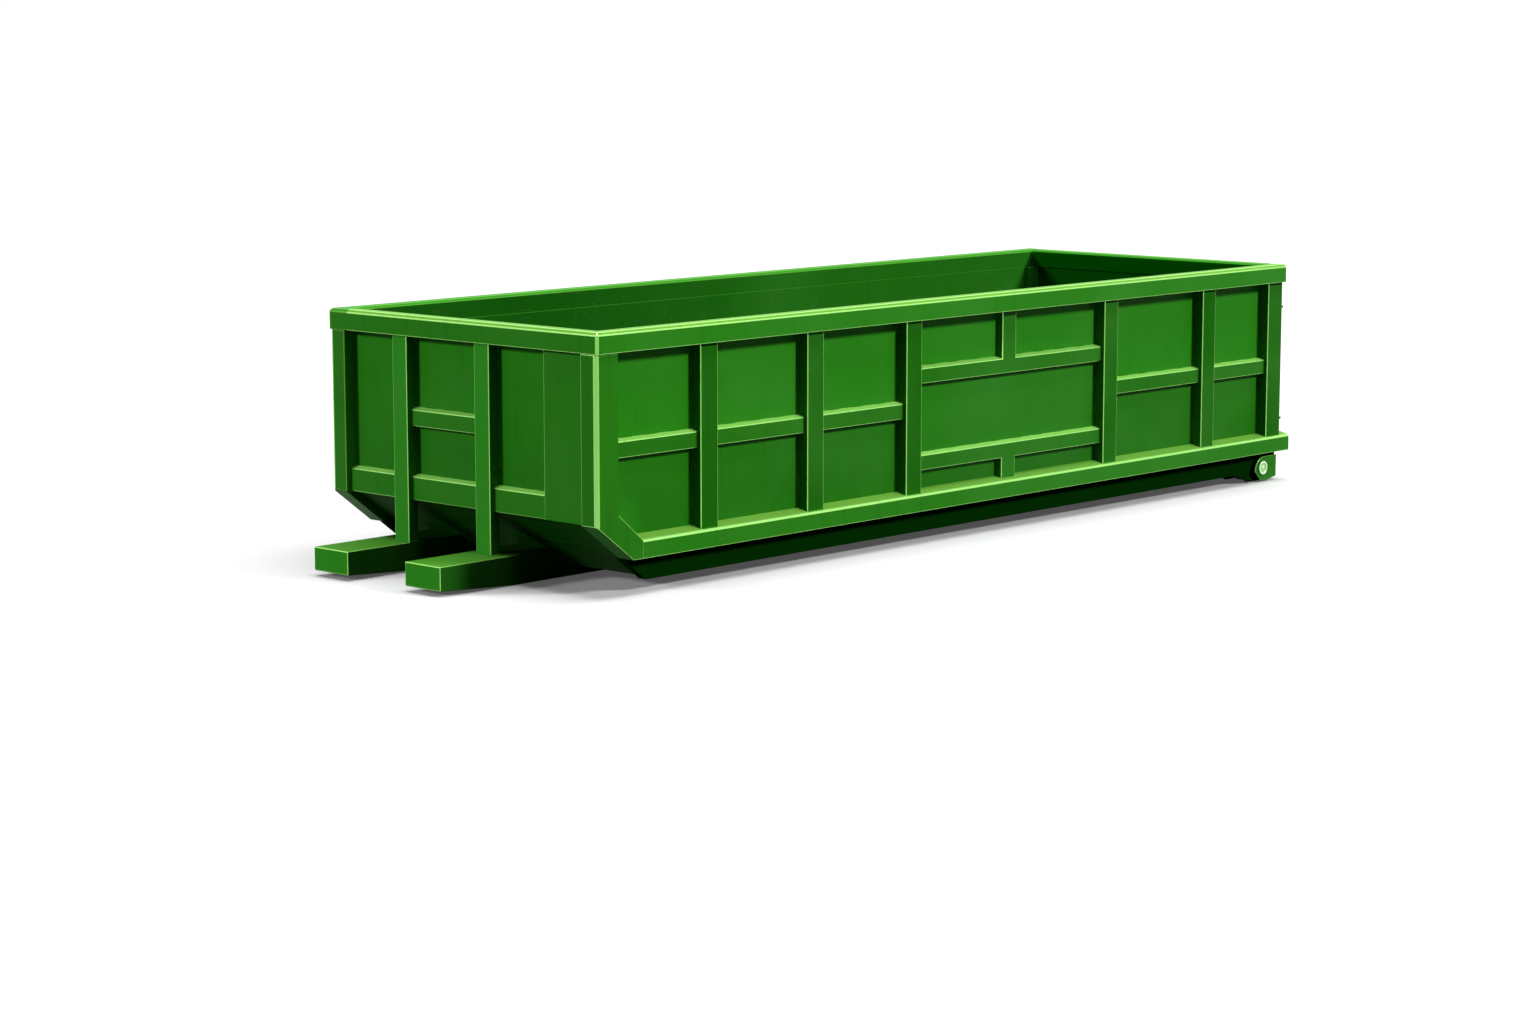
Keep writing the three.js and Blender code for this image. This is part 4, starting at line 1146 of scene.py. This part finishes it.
# Lamps: name, direction from the object to the lamp, strength, and softness in degrees.
LAMPS = (
    ("overhead_lamp", (0.1, -0.05, 1.0), 4.2, 46),
    ("right_lamp", (0.42, -1.0, 0.65), 2.45, 10),
    ("left_lamp", (-1.0, 0.47, 0.45), 1.58, 10),
)

# The floor reaches this far each way. Seen directly it scatters and glows by these shares, and it
# scatters less on to the object. The sky is dimmer on the object too.
FLOOR_REACH = 90
FLOOR_SCATTER = 0.6
FLOOR_GLOW = 0.075
FLOOR_SCATTER_UNSEEN = 0.02
SKY_SEEN = 1.0
SKY_UNSEEN = 0.05

# The picture's camera: its place, the way it looks, its focal length and the picture's width in
# pixels, the sensor's width in millimetres, and the farthest distance seen.
CAMERA_PLACE = (-16.2309, -14.4841, 3.3325)
CAMERA_FORWARD = (0.72668, 0.67058, -0.14916)
FOCAL_PIXELS = 3394.3
PICTURE_PIXELS = 1536
SENSOR_WIDTH = 36
FARTHEST_SEEN = 500


def seen_directly(tree):
    """1 for rays that see the background: from the camera, or by way of a gloss or glass."""
    rays = add_node(tree, "ShaderNodeLightPath").outputs
    seen = rays["Is Camera Ray"]
    for way in ("Is Glossy Ray", "Is Transmission Ray"):
        either = add_node(
            tree, "ShaderNodeMath", {"operation": "MAXIMUM"}, _0=seen, _1=rays[way],
        )
        seen = either.outputs[0]
    return seen


def make_floor():
    """A matt white floor that keeps the object's shadow and throws little light back at it."""
    bm = bmesh.new()
    bmesh.ops.create_grid(bm, x_segments=1, y_segments=1, size=FLOOR_REACH)
    mesh = bpy.data.meshes.new("studio_floor")
    bm.to_mesh(mesh)
    bm.free()
    floor = bpy.data.objects.new("studio_floor", mesh)
    bpy.context.scene.collection.objects.link(floor)
    material, tree = new_material("matt_white_floor")
    lit = add_node(tree, "ShaderNodeBsdfDiffuse", Color=3 * (FLOOR_SCATTER,))
    glow = add_node(tree, "ShaderNodeEmission", Color=3 * (FLOOR_GLOW,))
    bright = add_node(tree, "ShaderNodeAddShader", _0=lit.outputs[0], _1=glow.outputs[0])
    dim = add_node(tree, "ShaderNodeBsdfDiffuse", Color=3 * (FLOOR_SCATTER_UNSEEN,))
    surface = add_node(
        tree, "ShaderNodeMixShader", _0=seen_directly(tree), _1=dim.outputs[0],
        _2=bright.outputs[0],
    )
    add_node(tree, "ShaderNodeOutputMaterial", Surface=surface.outputs[0])
    mesh.materials.append(material)


def make_sky():
    """A white backdrop that lights the object dimly."""
    world = bpy.data.worlds.new("studio_world")
    bpy.context.scene.world = world
    world.use_nodes = True
    tree = world.node_tree
    tree.nodes.clear()
    level = add_node(
        tree, "ShaderNodeMapRange", Value=seen_directly(tree), To_Min=SKY_UNSEEN, To_Max=SKY_SEEN,
    )
    sky = add_node(
        tree, "ShaderNodeBackground", Color=paint().studio, Strength=level.outputs[0],
    )
    add_node(tree, "ShaderNodeOutputWorld", _0=sky.outputs[0])


def make_lamp(name, towards, strength, softness):
    """A distant soft lamp. towards points from the object to the lamp."""
    lamp = bpy.data.lights.new(name, "SUN")
    lamp.energy = strength
    lamp.angle = math.radians(softness)
    holder = bpy.data.objects.new(name, lamp)
    holder.rotation_euler = Vector(towards).to_track_quat("Z", "Y").to_euler()
    bpy.context.scene.collection.objects.link(holder)


def make_camera():
    """The camera, placed as the one that took the picture."""
    lens = bpy.data.cameras.new("photo_camera")
    lens.sensor_width = SENSOR_WIDTH
    lens.lens = SENSOR_WIDTH * FOCAL_PIXELS / PICTURE_PIXELS
    lens.clip_end = FARTHEST_SEEN
    camera = bpy.data.objects.new("photo_camera", lens)
    forward = Vector(CAMERA_FORWARD).normalized()
    right = forward.cross(Vector((0, 0, 1))).normalized()
    up = right.cross(forward)
    turn = Matrix((right, up, -forward)).transposed().to_4x4()
    camera.matrix_world = Matrix.Translation(CAMERA_PLACE) @ turn
    bpy.context.scene.collection.objects.link(camera)
    bpy.context.scene.camera = camera


class DUMPSTER_OT_stage(DumpsterOperator):
    """Floor, sky, lamps and camera."""

    bl_idname = "dumpster.stage"
    bl_label = "Studio"

    def execute(self, context):
        make_floor()
        make_sky()
        for lamp in LAMPS:
            make_lamp(*lamp)
        make_camera()
        context.scene.view_settings.view_transform = "Standard"
        return {"FINISHED"}


OPERATORS = (
    DUMPSTER_OT_rim, DUMPSTER_OT_rails, DUMPSTER_OT_posts, DUMPSTER_OT_caps,
    DUMPSTER_OT_corners, DUMPSTER_OT_stiffeners, DUMPSTER_OT_tub, DUMPSTER_OT_front,
    DUMPSTER_OT_underside, DUMPSTER_OT_wheels, DUMPSTER_OT_door, DUMPSTER_OT_lock,
    DUMPSTER_OT_welds, DUMPSTER_OT_stage,
)


class DUMPSTER_PT_sidebar(bpy.types.Panel):
    """Lists the dumpster's pieces, sizes and colours."""

    bl_label = "Dumpster"
    bl_idname = "DUMPSTER_PT_sidebar"
    bl_space_type = "VIEW_3D"
    bl_region_type = "UI"
    bl_category = "Dumpster"

    def draw(self, context):
        for operator in OPERATORS:
            self.layout.operator(operator.bl_idname)
        for group in (context.scene.dumpster_sizes, context.scene.dumpster_paint):
            for name in group.__annotations__:
                self.layout.prop(group, name)


CLASSES = (DumpsterPaint, DumpsterSizes, *OPERATORS, DUMPSTER_PT_sidebar)


def register():
    for cls in CLASSES:
        bpy.utils.register_class(cls)
    bpy.types.Scene.dumpster_paint = PointerProperty(type=DumpsterPaint)
    bpy.types.Scene.dumpster_sizes = PointerProperty(type=DumpsterSizes)


def unregister():
    del bpy.types.Scene.dumpster_sizes
    del bpy.types.Scene.dumpster_paint
    for cls in reversed(CLASSES):
        bpy.utils.unregister_class(cls)


def main():
    register()
    for operator in OPERATORS:
        group, name = operator.bl_idname.split(".")
        getattr(getattr(bpy.ops, group), name)()
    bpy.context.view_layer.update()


if __name__ == "__main__":
    main()
